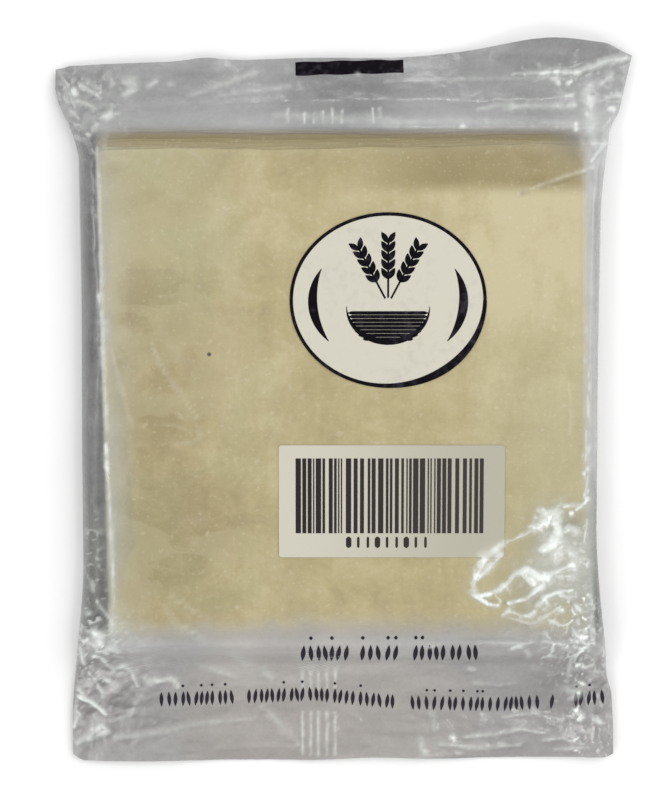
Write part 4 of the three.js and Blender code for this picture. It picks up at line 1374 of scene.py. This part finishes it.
def finish_rice_paper():
    made, wire = material("rice_paper")
    x, y, spot = wire.place(0), wire.place(1), wire.add("TexCoord", out=3)
    clouds = wire.noise(22, detail=3, roughness=0.5, warp=0.6) - 0.5
    patches = wire.noise(70, detail=4, roughness=0.6, warp=0.5) - 0.5
    streaks = wire.noise(200, detail=2, stretch=(1, 0.14, 1)) - 0.5
    grain = wire.noise(480, detail=3, roughness=0.6) - 0.5
    specks = wire.noise(900, detail=2).between(0.60, 0.72)
    flecks = wire.noise(330, detail=2, roughness=0.4).between(0.66, 0.71)
    slack_side = 1 - x.between(-0.050, 0.0)
    tone = paper_tone(x, y, slack_side, clouds, patches, streaks, grain)
    for spot_x, spot_y, radius, amount in PAPER_SPOTS:
        away = spot.away(spot_x, spot_y, STACK_HEIGHT)
        tone = tone + amount * (1 - away.between(0, radius * MM))
    colour = tone.add("ValToRGB", {"stops": PAPER_SHADES}, {0: tone})
    for mask, layer in paper_layers(wire, x, y, slack_side, clouds, patches):
        colour = mask.blend(colour, layer)
    colour = spot.away(*SPECK).between(0.0004, 0.0009).blend(SPECK_COLOUR, colour)
    colour = (specks * 0.16 + flecks * 0.13).blend(colour, STARCH_COLOUR)
    relief = (streaks * 0.4 + patches * 0.6).bump(0.25, 0.0006)
    return close(made, wire, colour, 0.5 + 0.2 * patches, Normal=relief)

# %% [markdown]
# ## Inks
# Both inks are printed dots of pigment in a thin lacquer. The dark one is a navy black that lets a
# little of the ground through where it is thin, and the white one is a warm off-white. On the code
# panel the white ink is painted darker towards the right, as shade, and both inks take the painted
# highlights of the folds that cross them.

# %% Ink materials
DARK_INK = {
    "thin": (0.040, 0.033, 0.047),
    "thick": (0.004, 0.003, 0.005),
    "near": (0.027, 0.023, 0.025),
    "far": (0.050, 0.044, 0.043),
}
# The white ink's far colour is painted shade, darker towards the right end of the code panel.
WHITE_INK = {
    "thin": (0.545, 0.517, 0.430),
    "thick": (0.605, 0.580, 0.485),
    "near": (0.585, 0.560, 0.468),
    "far": (0.432, 0.413, 0.328),
}


def finish_ink(name, roughness, shine, thin, thick, near, far):
    """Colours where the ink is thin and thick, and at the near and far side of the code panel; the
    white ink's darker far side is painted shade.
    """
    made, wire = material(name)
    cover = (0.6 * wire.noise(420, detail=3) + 0.4 * wire.noise(70, detail=2)).between(0.25, 0.52)
    bump = wire.noise(3000, detail=1).bump(0.15, 0.0001)
    x, y = wire.place(0), wire.place(1)
    on_panel = x.between(-0.0220, -0.0215) * y.band(-0.051, -0.0505, -0.0113, -0.0108)
    panel = x.between(-0.022, 0.050).blend(near, far)
    rows = 1 - y.between(-0.080, -0.070)
    colour = on_panel.blend((cover * (1 - 0.7 * rows)).blend(thin, thick), panel)
    # Painted highlights of the folds over the ink, in the cold crease glint colour.
    colour = (0.9 * wire.field("white")).clamp().blend(colour, COLD_CREASE_GLINT)
    rough = roughness + 0.1 * cover
    return close(made, wire, colour, rough, Specular_IOR_Level=shine, Normal=bump)


finishes = {
    film_front: (film_finish, "clear_film"),
    film_back: (film_finish, "clear_film"),
    fin_weld: (film_finish, "clear_film"),
    rice_sheets: (finish_rice_paper(), "rice_paper"),
    dark_print: (finish_ink("dark_ink", 0.4, 0.05, **DARK_INK), "dark_ink"),
    white_print: (finish_ink("white_ink", 0.45, 0.5, **WHITE_INK), "white_ink"),
}

# %% [markdown]
# ## Stage and light
# A plain pale floor and large soft lamps. Three small bright lamps stand off to the side, out of
# the mirror direction of the level film, so only tilted facets of the crinkles catch them.

# %% Floor and lamps
FLOOR_HALF, FLOOR_TOP = 1600, -0.2


def floor():
    corners = np.array([(-1, -1), (1, -1), (1, 1), (-1, 1)]) * FLOOR_HALF
    made = mesh_object("floor", [(*corner, FLOOR_TOP) for corner in corners], [[0, 1, 2, 3]])
    finish, wire = material("floor")
    paper = wire.noise(3, detail=2)
    colour = paper.blend((0.96, 0.96, 0.96), (0.98, 0.98, 0.98))
    made.data.materials.append(close(finish, wire, colour, 0.9 + 0.05 * paper))


def lamp(name, azimuth, height, distance, size, power):
    """A square soft lamp, azimuth in degrees from +X, height in degrees above the table."""
    a, h = math.radians(azimuth), math.radians(height)
    light = bpy.data.lights.new(name, "AREA")
    light.size, light.energy = size, power
    placed = bpy.data.objects.new(name, light)
    towards = Vector((math.cos(a) * math.cos(h), math.sin(a) * math.cos(h), math.sin(h)))
    placed.location = towards * distance
    placed.rotation_euler = (-placed.location).to_track_quat("-Z", "Y").to_euler()
    bpy.context.collection.objects.link(placed)


floor()
lamp("soft_key", 35, 50, 1.3, 0.9, 6.3)
lamp("soft_fill", 215, 50, 1.5, 0.9, 4.0)
lamp("glint_low_right", -50, 62, 0.9, 0.09, 0.6)
lamp("glint_top", 80, 60, 0.9, 0.09, 0.4)
lamp("glint_left", 170, 58, 0.9, 0.08, 0.45)


def studio_air():
    """Even light from all round, with a paler backdrop than the light it gives."""
    world = bpy.data.worlds.new("studio")
    world.use_nodes = True
    tree = world.node_tree
    tree.nodes.clear()
    wire = Wire(tree)
    strength = 0.57 + 0.40 * wire.add("LightPath")
    air = wire.add("Background", None, {"Color": (1, 1, 1, 1), "Strength": strength})
    tree.links.new(air.socket, tree.nodes.new("ShaderNodeOutputWorld").inputs["Surface"])
    bpy.context.scene.world = world


studio_air()
bpy.context.scene.view_settings.view_transform = "Standard"

# %% [markdown]
# ## Handing over
# Each piece gets its finish and rides on the one body. The front film takes the
# place of the frame's solid.

# %% Hand the pieces over
for piece, (finish, slot) in finishes.items():
    piece.data.materials.append(finish)
    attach(piece, "root")
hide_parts(NODE)
